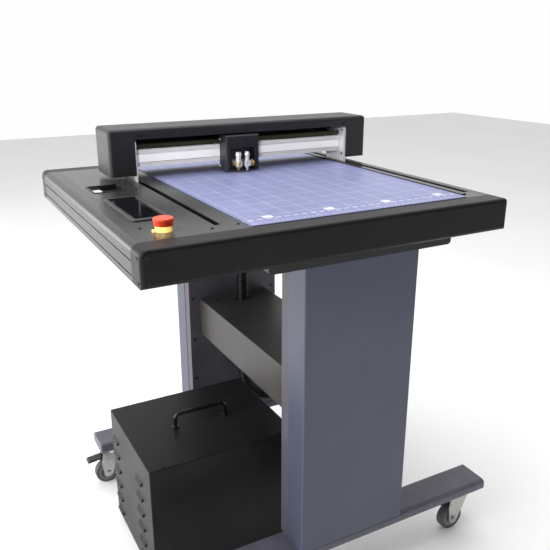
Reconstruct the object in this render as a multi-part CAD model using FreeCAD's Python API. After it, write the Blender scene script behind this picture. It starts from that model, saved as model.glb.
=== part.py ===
import FreeCAD, Part
import math
import os

V = FreeCAD.Vector
os.makedirs("parts", exist_ok=True)

# Millimetres. +Z up, floor at z = 0, +Y away from the operator, +X to the operator's right.
# The stand, the feet and the gantry share one centre plane; the table runs further left.
MID_X = 30.0
FLOOR = 0.0

# Table
TABLE_X = (-482.5, 388.5)
TABLE_Y = (-444.0, 444.0)
TABLE_Z = (912.0, 985.0)
CAP_DEPTH = 52.0
CAP_WALL = 4.0
CAP_EDGE_ROUND = 8.0
LEFT_RAIL_WIDTH = 40.0
RIGHT_RAIL_WIDTH = 27.0
LEFT_ROUND = 16.0
RIGHT_ROUND = 8.0
DECK_THICK = 3.0
DECK_Z = TABLE_Z[1]
SLOT_Y = (-344.0, 384.0)
SLOT_HALF = (315.0, 331.0)
PLATEN_X = (-230.0, 305.0)
PLATEN_Y = (-378.0, 362.0)
MAT_X = (-240.5, 315.0)
MAT_Y = (-389.0, 372.0)
MAT_THICK = 1.5
GROOVE_DROPS = (32.0, 60.0)
RIB_X = (317.0, 330.0)
RIB_Y = (-367.0, 372.0)
RIB_HEIGHT = 3.5

# Control side of the deck
BEZEL_X = (-433.5, -352.5)
BEZEL_Y = (-247.0, -24.0)
BEZEL_RIM = 9.0
BEZEL_HEIGHT = 4.0
TRAY_X = (-432.5, -352.5)
TRAY_Y = (58.0, 146.0)
TRAY_DEPTH = 14.0
ESTOP_XY = (-399.5, -335.5)
ESTOP_STEM_R = 8.0
FIT_GAP = 0.05

# Mains socket and rocker, in the far end cap
INLET_X = -440.0
SWITCH_X = -405.0
SOCKET_Z = 948.0

# Gantry
GANTRY_HALF = 390.5
GANTRY_Y = (166.0, 293.0)
GANTRY_Z = (997.0, 1116.0)
OPENING_HALF = 323.0
OPENING_TOP = 1089.0
PLATE_HALF = (318.0, 326.0)
PLATE_Y = (172.0, 266.0)
BEAM_Y = (200.0, 230.0)
BEAM_Z = (1013.0, 1058.0)
RAIL_X_Z = (1025.5, 1045.5)
RAIL_X_DEPTH = 3.5
PULLEY_R = 8.0
BELT_THICK = 1.4
X_BELT_Z = (1062.0, 1070.0)
X_PULLEY_Y = 212.0
X_PULLEY_HALF = 355.0
Y_PULLEY_Z = 955.0
Y_PULLEY_Y = (-408.0, 416.0)
Y_BELT_HALF = (290.0, 300.0)

# Carriage and tools
CARRIAGE_X = (-47.5, 51.5)
CARRIAGE_Y = (147.0, 192.0)
CARRIAGE_Z = (991.0, 1085.0)
NICHE_X = (-36.0, 36.0)
NICHE_TOP = 1052.0
NICHE_BACK = 166.0
CARRIAGE_WALL = 2.5
TOOL_Z = (990.2, 1042.2)
TOOL_Y = 138.5
KNIFE_X = -16.5
KNIFE_HALF = 8.5
CREASE_X = 9.5
CREASE_HALF = 9.5
CLAMP_Z = (1003.5, 1018.5)
SCREW_Z = 1011.0

# Stand
COLUMN_HALF = 149.5
COLUMN_Y = (291.0, 393.5)
COLUMN_SEAM_Y = 325.5
COLUMN_Z = (158.0, 882.0)
BRACKET_HALF = 237.5
BRACKET_Y = (287.0, 397.0)
SHELF_HALF = 112.0
SHELF_Z = (462.0, 576.0)
FOOT_HALF = 452.5
FOOT_Y = (295.5, 388.5)
FOOT_Z = (125.0, 158.0)
FOOT_ROUND = 12.0
CASTOR_INSET = 50.0
CASTOR_Y = 342.0

# Castors
WHEEL_R = 37.5
WHEEL_HALF = 12.0
TRAIL = 28.0
AXLE_R = 5.0
STEM_R = 8.0
STEM_Z = (122.0, 142.0)
SWIVEL_R = 26.0
FORK_TOP_Z = (104.0, 108.0)
LEG_Y = (15.0, 18.0)
PEDAL_PIN_X = -36.0
PEDAL_PIN_Z = 90.0
PEDAL_PIN_R = 2.5

# Drives and electronics
MOTOR_HALF = 21.0
X_MOTOR_Z = (1010.0, 1052.0)
Y_MOTOR_X = (-390.0, -330.0)
Y_MOTOR_Y = (394.0, 436.0)
SHAFT_R = 4.0
BOARD_X = (-430.0, -330.0)
BOARD_Y = (-200.0, 40.0)
BOARD_Z = (936.0, 937.6)
BEARING_Z = (922.0, 951.0)
PLATE_TOP = 1086.0
COLUMN_BOLT_Z = (580.0, 446.0, 313.0, 220.0)

# Suction unit
PUMP_X = (-414.5, -12.5)
PUMP_Y = (-172.0, 168.0)
PUMP_Z = (12.0, 347.0)
PUMP_WALL = 2.0
LOUVRE_ROWS = 6
LOUVRE_TOP_Z = 270.0
LOUVRE_PITCH = 46.5
LOUVRE_COLUMNS = (-80.0, 128.0)
LOUVRE_LENGTH = 44.0
BLOWER_XY = (-214.0, -2.0)

# Suction hose, along straight runs joined by tangent arcs
HOSE_R = 18.0
HOSE_X = 37.5
HOSE_Y = 239.0
PORT_Y = -2.0
PORT_Z = 185.0
HOSE_ROUTE = [
    (HOSE_X, HOSE_Y, 905.0),
    (HOSE_X, HOSE_Y, 225.0),
    (277.5, HOSE_Y, 205.0),
    (277.5, PORT_Y, PORT_Z),
    (27.5, PORT_Y, PORT_Z),
]


def block(x, y, z):
    return Part.makeBox(x[1] - x[0], y[1] - y[0], z[1] - z[0], V(x[0], y[0], z[0]))


def rod(radius, start, end):
    base = V(*start)
    way = V(*end) - base
    return Part.makeCylinder(radius, way.Length, base, way)


def taper(radius_a, radius_b, start, end):
    base = V(*start)
    way = V(*end) - base
    return Part.makeCone(radius_a, radius_b, way.Length, base, way)


def about(centre, low, high):
    """The span from low to high on the right of centre, and the same on the left."""
    return [(centre - high, centre - low), (centre + low, centre + high)]


def near_far(span):
    """The same Y span on the operator's side and on the far side."""
    return [(-span[1], -span[0]), span]


def rounded(shape, radius, chosen):
    edges = [edge for edge in shape.Edges if chosen(edge)]
    return shape.makeFillet(radius, edges)


def runs_along(edge, axis):
    ends = [vertex.Point for vertex in edge.Vertexes]
    if len(ends) < 2:
        return False
    way = ends[1] - ends[0]
    size = [abs(way.x), abs(way.y), abs(way.z)]
    return size["xyz".index(axis)] > 0.99 * way.Length and way.Length > 1e-6


def at(edge, **place):
    middle = edge.BoundBox.Center
    return all(abs(getattr(middle, name) - value) < 0.01 for name, value in place.items())


def prism(points, axis, low, high):
    """A flat outline, given in the two other axes, pushed from low to high along axis."""
    place = {
        "x": lambda a, b: V(low, a, b),
        "y": lambda a, b: V(a, low, b),
        "z": lambda a, b: V(a, b, low),
    }[axis]
    way = {"x": V(high - low, 0, 0), "y": V(0, high - low, 0), "z": V(0, 0, high - low)}[axis]
    loop = [place(a, b) for a, b in points]
    face = Part.Face(Part.makePolygon(loop + [loop[0]]))
    return face.extrude(way)


def save(name, *shapes):
    solids = [solid for shape in shapes for solid in shape.Solids]
    whole = solids[0] if len(solids) == 1 else Part.makeCompound(solids)
    if not whole.isValid():
        print("not valid:", name)
    whole.exportStep("parts/" + name + ".step")


# ---------------------------------------------------------------- table

def table_outline(y, inset):
    """The table's end view, rounded at its top edges, pushed along Y."""
    x = (TABLE_X[0] + inset, TABLE_X[1] - inset)
    z = (TABLE_Z[0] + inset, TABLE_Z[1] - inset)
    body = block(x, y, z)
    body = rounded(body, LEFT_ROUND - inset, lambda e: runs_along(e, "y") and at(e, x=x[0], z=z[1]))
    return rounded(body, RIGHT_ROUND - inset, lambda e: runs_along(e, "y") and at(e, x=x[1], z=z[1]))


def side_rail(left):
    """One side extrusion: a channel open to the inside, with two grooves in its outer face."""
    y = (TABLE_Y[0] + CAP_DEPTH, TABLE_Y[1] - CAP_DEPTH)
    skin = table_outline(y, 0).cut(table_outline(y, CAP_WALL))
    if left:
        keep = (TABLE_X[0], TABLE_X[0] + LEFT_RAIL_WIDTH)
        face = (TABLE_X[0] - 1, TABLE_X[0] + 2)
    else:
        keep = (TABLE_X[1] - RIGHT_RAIL_WIDTH, TABLE_X[1])
        face = (TABLE_X[1] - 2, TABLE_X[1] + 1)
    rail = skin.common(block(keep, y, TABLE_Z))
    for drop in GROOVE_DROPS:
        z = TABLE_Z[1] - drop
        rail = rail.cut(block(face, y, (z - 1.5, z + 1.5)))
    return rail


def end_cap(front):
    """The full-width cap at one end of the table: a shell open towards the middle."""
    if front:
        y = (TABLE_Y[0], TABLE_Y[0] + CAP_DEPTH)
        outer_y = y[0]
        hollow_y = (y[0] + CAP_WALL, y[1] + 1)
    else:
        y = (TABLE_Y[1] - CAP_DEPTH, TABLE_Y[1])
        outer_y = y[1]
        hollow_y = (y[0] - 1, y[1] - CAP_WALL)
    cap = table_outline(y, 0)
    rim = [e for e in cap.Edges if max(abs(e.BoundBox.YMin - outer_y), abs(e.BoundBox.YMax - outer_y)) < 0.01]
    cap = cap.makeFillet(CAP_EDGE_ROUND, rim)
    return cap.cut(table_outline(hollow_y, CAP_WALL))


def deck_plate():
    """The sheet round the mat, with a low rib along the mat's right edge."""
    y = (TABLE_Y[0] + CAP_DEPTH, TABLE_Y[1] - CAP_DEPTH)
    x = (TABLE_X[0] + LEFT_RAIL_WIDTH, TABLE_X[1] - RIGHT_RAIL_WIDTH)
    deep = (DECK_Z - DECK_THICK - 1, DECK_Z + 1)
    deck = block(x, y, (DECK_Z - DECK_THICK, DECK_Z))
    deck = deck.cut(block(PLATEN_X, PLATEN_Y, deep))
    left, right = about(MID_X, *SLOT_HALF)
    deck = deck.cut(block((left[0] + 2, left[1]), SLOT_Y, deep))
    deck = deck.cut(block((right[0], right[1] + 1), SLOT_Y, deep))
    rim = BEZEL_RIM - 1
    deck = deck.cut(block((BEZEL_X[0] + rim, BEZEL_X[1] - rim), (BEZEL_Y[0] + rim, BEZEL_Y[1] - rim), deep))
    deck = deck.cut(block((TRAY_X[0] + 1.5, TRAY_X[1] - 1.5), (TRAY_Y[0] + 1.5, TRAY_Y[1] - 1.5), deep))
    deck = deck.cut(rod(ESTOP_STEM_R + 3, ESTOP_XY + (deep[0],), ESTOP_XY + (deep[1],)))
    return deck.fuse(block(RIB_X, RIB_Y, (DECK_Z - DECK_THICK, DECK_Z + RIB_HEIGHT)))


def vacuum_platen():
    """The plate under the mat, with a grid of suction holes."""
    plate = block(PLATEN_X, PLATEN_Y, (DECK_Z - 8, DECK_Z))
    columns = 8
    rows = 10
    holes = []
    for i in range(columns):
        for j in range(rows):
            x = PLATEN_X[0] + (i + 0.5) * (PLATEN_X[1] - PLATEN_X[0]) / columns
            y = PLATEN_Y[0] + (j + 0.5) * (PLATEN_Y[1] - PLATEN_Y[0]) / rows
            holes.append(rod(3.0, (x, y, DECK_Z - 9), (x, y, DECK_Z + 1)))
    return plate.cut(Part.makeCompound(holes))


def cutting_mat():
    mat = block(MAT_X, MAT_Y, (DECK_Z, DECK_Z + MAT_THICK))
    return rounded(mat, 6.0, lambda e: runs_along(e, "z"))


def bottom_pan():
    """The sheet that closes the table from below, with upturned ends and the hose hole."""
    x = (TABLE_X[0] + LEFT_RAIL_WIDTH, TABLE_X[1] - RIGHT_RAIL_WIDTH)
    y = (TABLE_Y[0] + CAP_DEPTH, TABLE_Y[1] - CAP_DEPTH)
    z = TABLE_Z[0]
    pan = block(x, y, (z, z + 2))
    lips = [block(x, (y[0], y[0] + 2), (z + 2, z + 18)),
            block(x, (y[1] - 2, y[1]), (z + 2, z + 18))]
    pan = pan.multiFuse(lips)
    return pan.cut(rod(HOSE_R + 4, (HOSE_X, HOSE_Y, z - 1), (HOSE_X, HOSE_Y, z + 3)))


def control_bezel():
    z = (DECK_Z, DECK_Z + BEZEL_HEIGHT)
    frame = block(BEZEL_X, BEZEL_Y, z)
    frame = rounded(frame, 8.0, lambda e: runs_along(e, "z"))
    top = [e for e in frame.Edges if abs(e.BoundBox.ZMin - z[1]) < 0.01]
    frame = frame.makeChamfer(2.0, top)
    inner_x = (BEZEL_X[0] + BEZEL_RIM, BEZEL_X[1] - BEZEL_RIM)
    inner_y = (BEZEL_Y[0] + BEZEL_RIM, BEZEL_Y[1] - BEZEL_RIM)
    return frame.cut(block(inner_x, inner_y, (z[0] - 1, z[1] + 1)))


def touch_screen():
    x = (BEZEL_X[0] + BEZEL_RIM, BEZEL_X[1] - BEZEL_RIM)
    y = (BEZEL_Y[0] + BEZEL_RIM, BEZEL_Y[1] - BEZEL_RIM)
    return block(x, y, (DECK_Z - 6, DECK_Z + 1.5))


def tool_tray():
    """A shallow plastic insert, with a flange that rests on the deck."""
    flange = block(TRAY_X, TRAY_Y, (DECK_Z, DECK_Z + 1.2))
    flange = rounded(flange, 4.0, lambda e: runs_along(e, "z"))
    x = (TRAY_X[0] + 2, TRAY_X[1] - 2)
    y = (TRAY_Y[0] + 2, TRAY_Y[1] - 2)
    cup = block(x, y, (DECK_Z - TRAY_DEPTH, DECK_Z + 0.5))
    hollow = block((x[0] + 2, x[1] - 2), (y[0] + 2, y[1] - 2), (DECK_Z - TRAY_DEPTH + 1.5, DECK_Z + 3))
    return flange.fuse(cup).cut(hollow)


def estop_collar():
    x, y = ESTOP_XY
    collar = rod(17.0, (x, y, DECK_Z), (x, y, DECK_Z + 11))
    tab = block((x - 23, x - 15), (y - 4, y + 4), (DECK_Z, DECK_Z + 4))
    barrel = rod(10.5, (x, y, DECK_Z - 30), (x, y, DECK_Z))
    whole = collar.multiFuse([tab, barrel])
    return whole.cut(rod(ESTOP_STEM_R + FIT_GAP, (x, y, DECK_Z - 31), (x, y, DECK_Z + 12)))


def estop_stem():
    x, y = ESTOP_XY
    return rod(ESTOP_STEM_R, (x, y, DECK_Z - 24), (x, y, DECK_Z + 19))


def estop_head():
    """The two-tier mushroom: a skirt round the collar and a slightly wider cap on it."""
    x, y = ESTOP_XY
    z = DECK_Z + 11.5
    skirt = rod(19.0, (x, y, z), (x, y, z + 7))
    neck = rod(18.2, (x, y, z + 6), (x, y, z + 8))
    cap = rod(20.0, (x, y, z + 7.8), (x, y, z + 14.5))
    top = [e for e in cap.Edges if abs(e.BoundBox.ZMin - z - 14.5) < 0.01]
    cap = cap.makeFillet(2.8, top)
    head = skirt.multiFuse([neck, cap])
    head = head.cut(rod(17.5, (x, y, z - 1), (x, y, z + 5.5)))
    return head.cut(rod(ESTOP_STEM_R + FIT_GAP, (x, y, z + 5), (x, y, z + 9)))


def power_inlet():
    """The mains socket in the far end cap, with three pins in its recess."""
    y = TABLE_Y[1]
    body = block((INLET_X - 15, INLET_X + 15), (y - 26, y - CAP_WALL), (SOCKET_Z - 12, SOCKET_Z + 12))
    rim = block((INLET_X - 15, INLET_X + 15), (y - CAP_WALL, y), (SOCKET_Z - 12, SOCKET_Z + 12))
    socket = block((INLET_X - 12, INLET_X + 12), (y - 20, y + 1), (SOCKET_Z - 8.5, SOCKET_Z + 8.5))
    pins = []
    for dx, dz in ((-7, -2), (0, 2), (7, -2)):
        x = INLET_X + dx
        z = SOCKET_Z + dz
        pins.append(block((x - 1, x + 1), (y - 21, y - 9), (z - 2, z + 2)))
    return body.fuse(rim).cut(socket).multiFuse(pins)


def power_switch():
    """A rocker that tips about a pin through its middle."""
    y = TABLE_Y[1]
    half = 9.0
    pin = rod(2.0, (SWITCH_X - 6.9, y - 6, SOCKET_Z), (SWITCH_X + 6.9, y - 6, SOCKET_Z))
    outline = [(y - 12, SOCKET_Z - half), (y, SOCKET_Z - half), (y - 2.5, SOCKET_Z),
               (y - 0.3, SOCKET_Z + half), (y - 12, SOCKET_Z + half)]
    return prism(outline, "x", SWITCH_X - 6, SWITCH_X + 6).fuse(pin)


def back_cap_with_cutouts():
    y = TABLE_Y[1]
    cap = end_cap(False)
    inlet = block((INLET_X - 15, INLET_X + 15), (y - 10, y + 1), (SOCKET_Z - 12, SOCKET_Z + 12))
    rocker = block((SWITCH_X - 7, SWITCH_X + 7), (y - 10, y + 1), (SOCKET_Z - 11.5, SOCKET_Z + 11.5))
    return cap.cut(inlet).cut(rocker)


def y_guide_rails():
    rails = []
    for x0, x1 in about(MID_X, PLATE_HALF[0] - 3.5, PLATE_HALF[1] + 3.5):
        rails.append(block((x0, x1), (SLOT_Y[0] - 6, SLOT_Y[1] + 6), (TABLE_Z[0] + 4, TABLE_Z[0] + 24)))
    return rails


def toothed_pulley(centre, axis, length, bore=0.0):
    """A belt pulley: a drum between two thin flanges."""
    way = {"x": V(1, 0, 0), "z": V(0, 0, 1)}[axis]
    base = V(*centre)
    drum = Part.makeCylinder(PULLEY_R, length, base, way)
    low = Part.makeCylinder(PULLEY_R + 2.5, 1.2, base - way * 1.2, way)
    high = Part.makeCylinder(PULLEY_R + 2.5, 1.2, base + way * length, way)
    pulley = drum.multiFuse([low, high])
    if bore:
        pulley = pulley.cut(Part.makeCylinder(bore, length + 6, base - way * 3, way))
    return pulley


def y_shaft(y, left_end, right_end):
    """One cross shaft under the deck, with a pulley for each belt."""
    shaft = rod(SHAFT_R, (left_end, y, Y_PULLEY_Z), (right_end, y, Y_PULLEY_Z))
    pulleys = [toothed_pulley((x0 - 0.5, y, Y_PULLEY_Z), "x", x1 - x0 + 1.0)
               for x0, x1 in about(MID_X, *Y_BELT_HALF)]
    return shaft.multiFuse(pulleys)


def loop_belt(ends, across, cross_axis, level):
    """A closed belt round two pulleys: ends along the run, across its width."""
    outer = PULLEY_R + BELT_THICK + 0.3
    inner = PULLEY_R + 0.3
    loops = []
    for radius in (outer, inner):
        if cross_axis == "x":
            drums = [rod(radius, (across[0], end, level), (across[1], end, level)) for end in ends]
            bar = block(across, ends, (level - radius, level + radius))
        else:
            drums = [rod(radius, (end, level, across[0]), (end, level, across[1])) for end in ends]
            bar = block(ends, (level - radius, level + radius), across)
        loops.append(bar.multiFuse(drums))
    return loops[0].cut(loops[1])


def y_belts():
    return [loop_belt(Y_PULLEY_Y, span, "x", Y_PULLEY_Z) for span in about(MID_X, *Y_BELT_HALF)]


def y_motor():
    """The motor that turns the far cross shaft through a coupling, beside the left belt."""
    body = block(Y_MOTOR_X, Y_MOTOR_Y, (Y_PULLEY_Z - MOTOR_HALF, Y_PULLEY_Z + MOTOR_HALF))
    body = rounded(body, 4.0, lambda e: runs_along(e, "x"))
    y = Y_PULLEY_Y[1]
    end = Y_MOTOR_X[1]
    return body.cut(rod(SHAFT_R + FIT_GAP, (end - 15, y, Y_PULLEY_Z), (end + 1, y, Y_PULLEY_Z)))


def control_board():
    """The main circuit board on its standoffs, with its larger parts."""
    board = block(BOARD_X, BOARD_Y, BOARD_Z)
    low, top = BOARD_Z
    standoffs = [rod(3.0, (x, y, TABLE_Z[0] + 2), (x, y, low))
                 for x in (BOARD_X[0] + 8, BOARD_X[1] - 8) for y in (BOARD_Y[0] + 8, BOARD_Y[1] - 8)]
    left = BOARD_X[0]
    processor = block((left + 15, left + 45), (BOARD_Y[0] + 50, BOARD_Y[0] + 80), (top, top + 3.4))
    connector = block((left + 10, left + 30), (BOARD_Y[1] - 80, BOARD_Y[1] - 40), (top, top + 12.4))
    capacitors = [rod(8.0, (BOARD_X[1] - 20, y, top), (BOARD_X[1] - 20, y, top + 17.4))
                  for y in (BOARD_Y[0] + 100, BOARD_Y[0] + 130)]
    return board.multiFuse(standoffs + [processor, connector] + capacitors)


def screw_head(place, way, radius, height=1.6):
    head = Part.makeCylinder(radius, height, V(*place), V(*way))
    cross = [Part.makeBox(radius * 1.2, radius * 0.22, 2.0), Part.makeBox(radius * 0.22, radius * 1.2, 2.0)]
    turn = FreeCAD.Rotation(V(0, 0, 1), V(*way))
    for index, bar in enumerate(cross):
        size = (radius * 1.2, radius * 0.22) if index == 0 else (radius * 0.22, radius * 1.2)
        bar.translate(V(-size[0] / 2, -size[1] / 2, height - 0.8))
        bar.Placement = FreeCAD.Placement(V(*place), turn).multiply(bar.Placement)
        head = head.cut(bar)
    return head


def machine_screws():
    """Every visible screw and bolt of the table and the stand."""
    heads = []
    rows_z = (TABLE_Z[1] - 14.5, TABLE_Z[1] - 61.5)
    for z in rows_z:
        for y, way in ((TABLE_Y[0], (0, -1, 0)), (TABLE_Y[1], (0, 1, 0))):
            heads.append(screw_head((TABLE_X[1] - 11, y, z), way, 3.0, 1.2))
            heads.append(screw_head((TABLE_X[0] + 12, y, z), way, 3.6, 1.4))
        for y in (TABLE_Y[0] + 18, TABLE_Y[1] - 18):
            heads.append(screw_head((TABLE_X[0], y, z - 3), (-1, 0, 0), 3.0, 1.2))
            heads.append(screw_head((TABLE_X[1], y, z - 3), (1, 0, 0), 3.0, 1.2))
    for x, y in ((-312.5, -364.0), (-253.5, -356.0), (-435.0, -300.0), (-318.0, 370.0)):
        heads.append(screw_head((x, y, DECK_Z), (0, 0, 1), 3.0))
    for side in (-1, 1):
        inner = side * COLUMN_Y[0]
        way = (0, -side, 0)
        for x in (MID_X - COLUMN_HALF + 14, MID_X + COLUMN_HALF - 14):
            for z in COLUMN_BOLT_Z:
                heads.append(screw_head((x, inner, z), way, 4.0, 2.4))
    heads.append(screw_head((90.0, -220.0, SHELF_Z[1]), (0, 0, 1), 3.5, 2.0))
    heads.append(screw_head((-40.0, 255.0, SHELF_Z[1]), (0, 0, 1), 3.5, 2.0))
    for x in (PUMP_X[0] + 40, PUMP_X[1] - 40):
        heads.append(screw_head((x, PUMP_Y[0] + 12, PUMP_Z[1]), (0, 0, 1), 3.0, 1.6))
        heads.append(screw_head((x, PUMP_Y[1] - 12, PUMP_Z[1]), (0, 0, 1), 3.0, 1.6))
    return heads


# ---------------------------------------------------------------- gantry

def gantry_cover():
    """The long moulded cover: two deep ends joined by a top bar, open below and in front."""
    x = (MID_X - GANTRY_HALF, MID_X + GANTRY_HALF)
    cover = block(x, GANTRY_Y, GANTRY_Z)
    cover = rounded(cover, 10.0, lambda e: at(e, z=GANTRY_Z[1]) or runs_along(e, "z"))
    wall = 4.0
    y = (GANTRY_Y[0] + wall, GANTRY_Y[1] - wall)
    z = (GANTRY_Z[0] - 1, GANTRY_Z[1] - wall)
    hollow = block((x[0] + wall, x[1] - wall), y, z)
    hollow = rounded(hollow, 6.0, lambda e: at(e, z=z[1]) or runs_along(e, "z"))
    cheeks = []
    belt_y = (X_PULLEY_Y - 16, X_PULLEY_Y + 16)
    for x0, x1 in about(MID_X, PLATE_HALF[1] + 2, PLATE_HALF[1] + 6):
        cheek = block((x0, x1), y, (GANTRY_Z[0], z[1] - 8))
        cheek = cheek.cut(block((x0 - 1, x1 + 1), belt_y, (X_BELT_Z[0] - 6, z[1])))
        cheeks.append(cheek)
    mouth_x = (MID_X - OPENING_HALF, MID_X + OPENING_HALF)
    mouth = block(mouth_x, (GANTRY_Y[0] - 1, y[0] + 1), (GANTRY_Z[0] - 1, OPENING_TOP))
    mouth = rounded(mouth, 5.0, lambda e: runs_along(e, "y") and at(e, z=OPENING_TOP))
    shell = cover.cut(hollow).cut(mouth)
    return shell.multiFuse(cheeks)


def gantry_beam():
    """The extruded cross beam: a hollow section with a fine groove in each edge band."""
    x = (MID_X - PLATE_HALF[0], MID_X + PLATE_HALF[0])
    beam = block(x, BEAM_Y, BEAM_Z)
    past = (x[0] - 1, x[1] + 1)
    beam = beam.cut(block(past, (BEAM_Y[0] + 5, BEAM_Y[1] - 3), (BEAM_Z[0] + 3, BEAM_Z[1] - 3)))
    beam = rounded(beam, 4.0, lambda e: runs_along(e, "x") and at(e, y=BEAM_Y[0], z=BEAM_Z[1]))
    for z in (RAIL_X_Z[0] - 1.5, RAIL_X_Z[1] + 1.5, BEAM_Z[0] + 5.5):
        beam = beam.cut(block(past, (BEAM_Y[0] - 1, BEAM_Y[0] + 2.0), (z - 1.0, z + 1.0)))
    return beam


def idler_arm():
    """The arm on the right plate that reaches under the belt's idler and holds its pin."""
    x = MID_X + X_PULLEY_HALF
    y = X_PULLEY_Y
    under = X_BELT_Z[0] - 5
    arm = block((MID_X + PLATE_HALF[1] - 1, x + 12), (y - 12, y + 12), (under, under + 3))
    return arm.fuse(rod(2.5, (x, y, under + 2), (x, y, X_BELT_Z[1] + 3)))


def side_plates():
    """The two plates that carry the beam down through the deck slots."""
    plates = []
    for x0, x1 in about(MID_X, *PLATE_HALF):
        plate = block((x0, x1), PLATE_Y, (BEARING_Z[1], PLATE_TOP))
        plate = rounded(plate, 10.0, lambda e: runs_along(e, "x") and at(e, z=PLATE_TOP))
        belt_y = (X_PULLEY_Y - 13, X_PULLEY_Y + 13)
        window = block((x0 - 1, x1 + 1), belt_y, (X_BELT_Z[0] - 2, X_BELT_Z[1] + 3))
        plates.append(plate.cut(window))
    plates[1] = plates[1].fuse(idler_arm())
    return plates


def bearing_blocks():
    """The two blocks that run on the guide rails and carry the side plates."""
    blocks = []
    for x0, x1 in about(MID_X, PLATE_HALF[0] - 12.5, PLATE_HALF[1] + 12.5):
        body = block((x0, x1), PLATE_Y, BEARING_Z)
        middle = (x0 + x1) / 2
        guide_y = (PLATE_Y[0] - 1, PLATE_Y[1] + 1)
        slot = block((middle - 7.8, middle + 7.8), guide_y, (BEARING_Z[0] - 1, TABLE_Z[0] + 24.3))
        blocks.append(body.cut(slot))
    return blocks


def carriage_rail():
    """The wide flat rail on the beam's face, grooved along both edges."""
    x = (MID_X - PLATE_HALF[0] + 1, MID_X + PLATE_HALF[0] - 1)
    rail = block(x, (BEAM_Y[0] - RAIL_X_DEPTH, BEAM_Y[0]), RAIL_X_Z)
    for z in RAIL_X_Z:
        rail = rail.cut(block((x[0] - 1, x[1] + 1), (BEAM_Y[0] - 2.2, BEAM_Y[0] - 1.0), (z - 0.8, z + 0.8)))
    return rail


def x_motor():
    x = MID_X - X_PULLEY_HALF
    y = X_PULLEY_Y
    body = block((x - MOTOR_HALF, x + MOTOR_HALF), (y - MOTOR_HALF, y + MOTOR_HALF), X_MOTOR_Z)
    body = rounded(body, 4.0, lambda e: runs_along(e, "z"))
    shaft = rod(2.5, (x, y, X_MOTOR_Z[1]), (x, y, X_BELT_Z[1] + 1))
    return body.fuse(shaft)


def x_drive_pulley():
    return toothed_pulley((MID_X - X_PULLEY_HALF, X_PULLEY_Y, X_BELT_Z[0]), "z", 8.0, 2.5 + FIT_GAP)


def x_idler_pulley():
    return toothed_pulley((MID_X + X_PULLEY_HALF, X_PULLEY_Y, X_BELT_Z[0]), "z", 8.0, 2.5 + FIT_GAP)


def gantry_screws():
    """Screws of the cover's front corners, of the side plates and of the ends."""
    heads = []
    for side in (-1, 1):
        x = MID_X + side * (OPENING_HALF - 10)
        heads.append(screw_head((x, GANTRY_Y[0], OPENING_TOP + 9), (0, -1, 0), 3.0, 1.2))
        inner = MID_X + side * PLATE_HALF[0]
        for z in (1006.0, 1076.0):
            heads.append(screw_head((inner, PLATE_Y[0] + 9, z), (-side, 0, 0), 3.2, 2.0))
            heads.append(screw_head((inner, PLATE_Y[1] - 12, z), (-side, 0, 0), 3.2, 2.0))
    return heads


# ---------------------------------------------------------------- carriage

def carriage_block():
    """The bearing block on the beam's rail, with the arm that holds the belt."""
    x = (CARRIAGE_X[0] + CARRIAGE_WALL + 0.1, CARRIAGE_X[1] - CARRIAGE_WALL - 0.1)
    body = block(x, (176.0, BEAM_Y[0] - 0.5), (1018.0, 1056.0))
    face_y = BEAM_Y[0] - RAIL_X_DEPTH - 0.3
    track = block((x[0] - 1, x[1] + 1), (face_y, BEAM_Y[0] + 1), (RAIL_X_Z[0] - 0.4, RAIL_X_Z[1] + 0.4))
    arm = block((-10.0, 22.0), (184.0, BEAM_Y[0] - 0.5), (1056.0, 1074.0))
    return body.cut(track).fuse(arm)


def carriage_cover():
    """The black cover: a deep box with a niche in its front for the two tools."""
    x, y, z = CARRIAGE_X, CARRIAGE_Y, CARRIAGE_Z
    wall = CARRIAGE_WALL
    shape = block(x, y, z)
    shape = rounded(shape, 5.0, lambda e: at(e, y=y[0], z=z[1]) or (runs_along(e, "z") and at(e, y=y[0])))
    niche = block(NICHE_X, (y[0] - 1, NICHE_BACK), (z[0] - 1, NICHE_TOP))
    niche = rounded(niche, 4.0, lambda e: runs_along(e, "y") and at(e, z=NICHE_TOP))
    inner_x = (x[0] + wall, x[1] - wall)
    low_z = (z[0] + wall, NICHE_TOP + wall + 1)
    upper = block(inner_x, (y[0] + wall, y[1] + 1), (NICHE_TOP + wall, z[1] - wall))
    lower = block(inner_x, (NICHE_BACK + wall, y[1] + 1), low_z)
    shape = shape.cut(niche).cut(upper).cut(lower)
    for span in ((inner_x[0], NICHE_X[0] - wall), (NICHE_X[1] + wall, inner_x[1])):
        shape = shape.cut(block(span, (y[0] + wall, NICHE_BACK + wall + 1), low_z))
    return shape


def tool_holder(x, half, barrel_r, tip_r):
    """One tool: a clamp block, a barrel with a collar, and a pointed nose."""
    z, top = TOOL_Z
    front = TOOL_Y - 8.5
    clamp = block((x - half, x + half), (front, NICHE_BACK - 0.5), CLAMP_Z)
    clamp = rounded(clamp, 2.5, lambda e: runs_along(e, "z") and at(e, y=front))
    barrel = rod(barrel_r, (x, TOOL_Y, z + 12), (x, TOOL_Y, top))
    collar = rod(barrel_r + 1.4, (x, TOOL_Y, top - 11), (x, TOOL_Y, top - 5))
    nose = taper(tip_r, barrel_r - 1.5, (x, TOOL_Y, z), (x, TOOL_Y, z + 12))
    return clamp.multiFuse([barrel, collar, nose])


def knife_holder():
    return tool_holder(KNIFE_X, KNIFE_HALF, 7.0, 0.8)


def crease_holder():
    holder = tool_holder(CREASE_X, CREASE_HALF, 6.0, 2.0)
    side = CREASE_X + CREASE_HALF
    bore = rod(2.0 + FIT_GAP, (side - 3.5, TOOL_Y, SCREW_Z), (side + 2, TOOL_Y, SCREW_Z))
    return holder.cut(bore)


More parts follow.
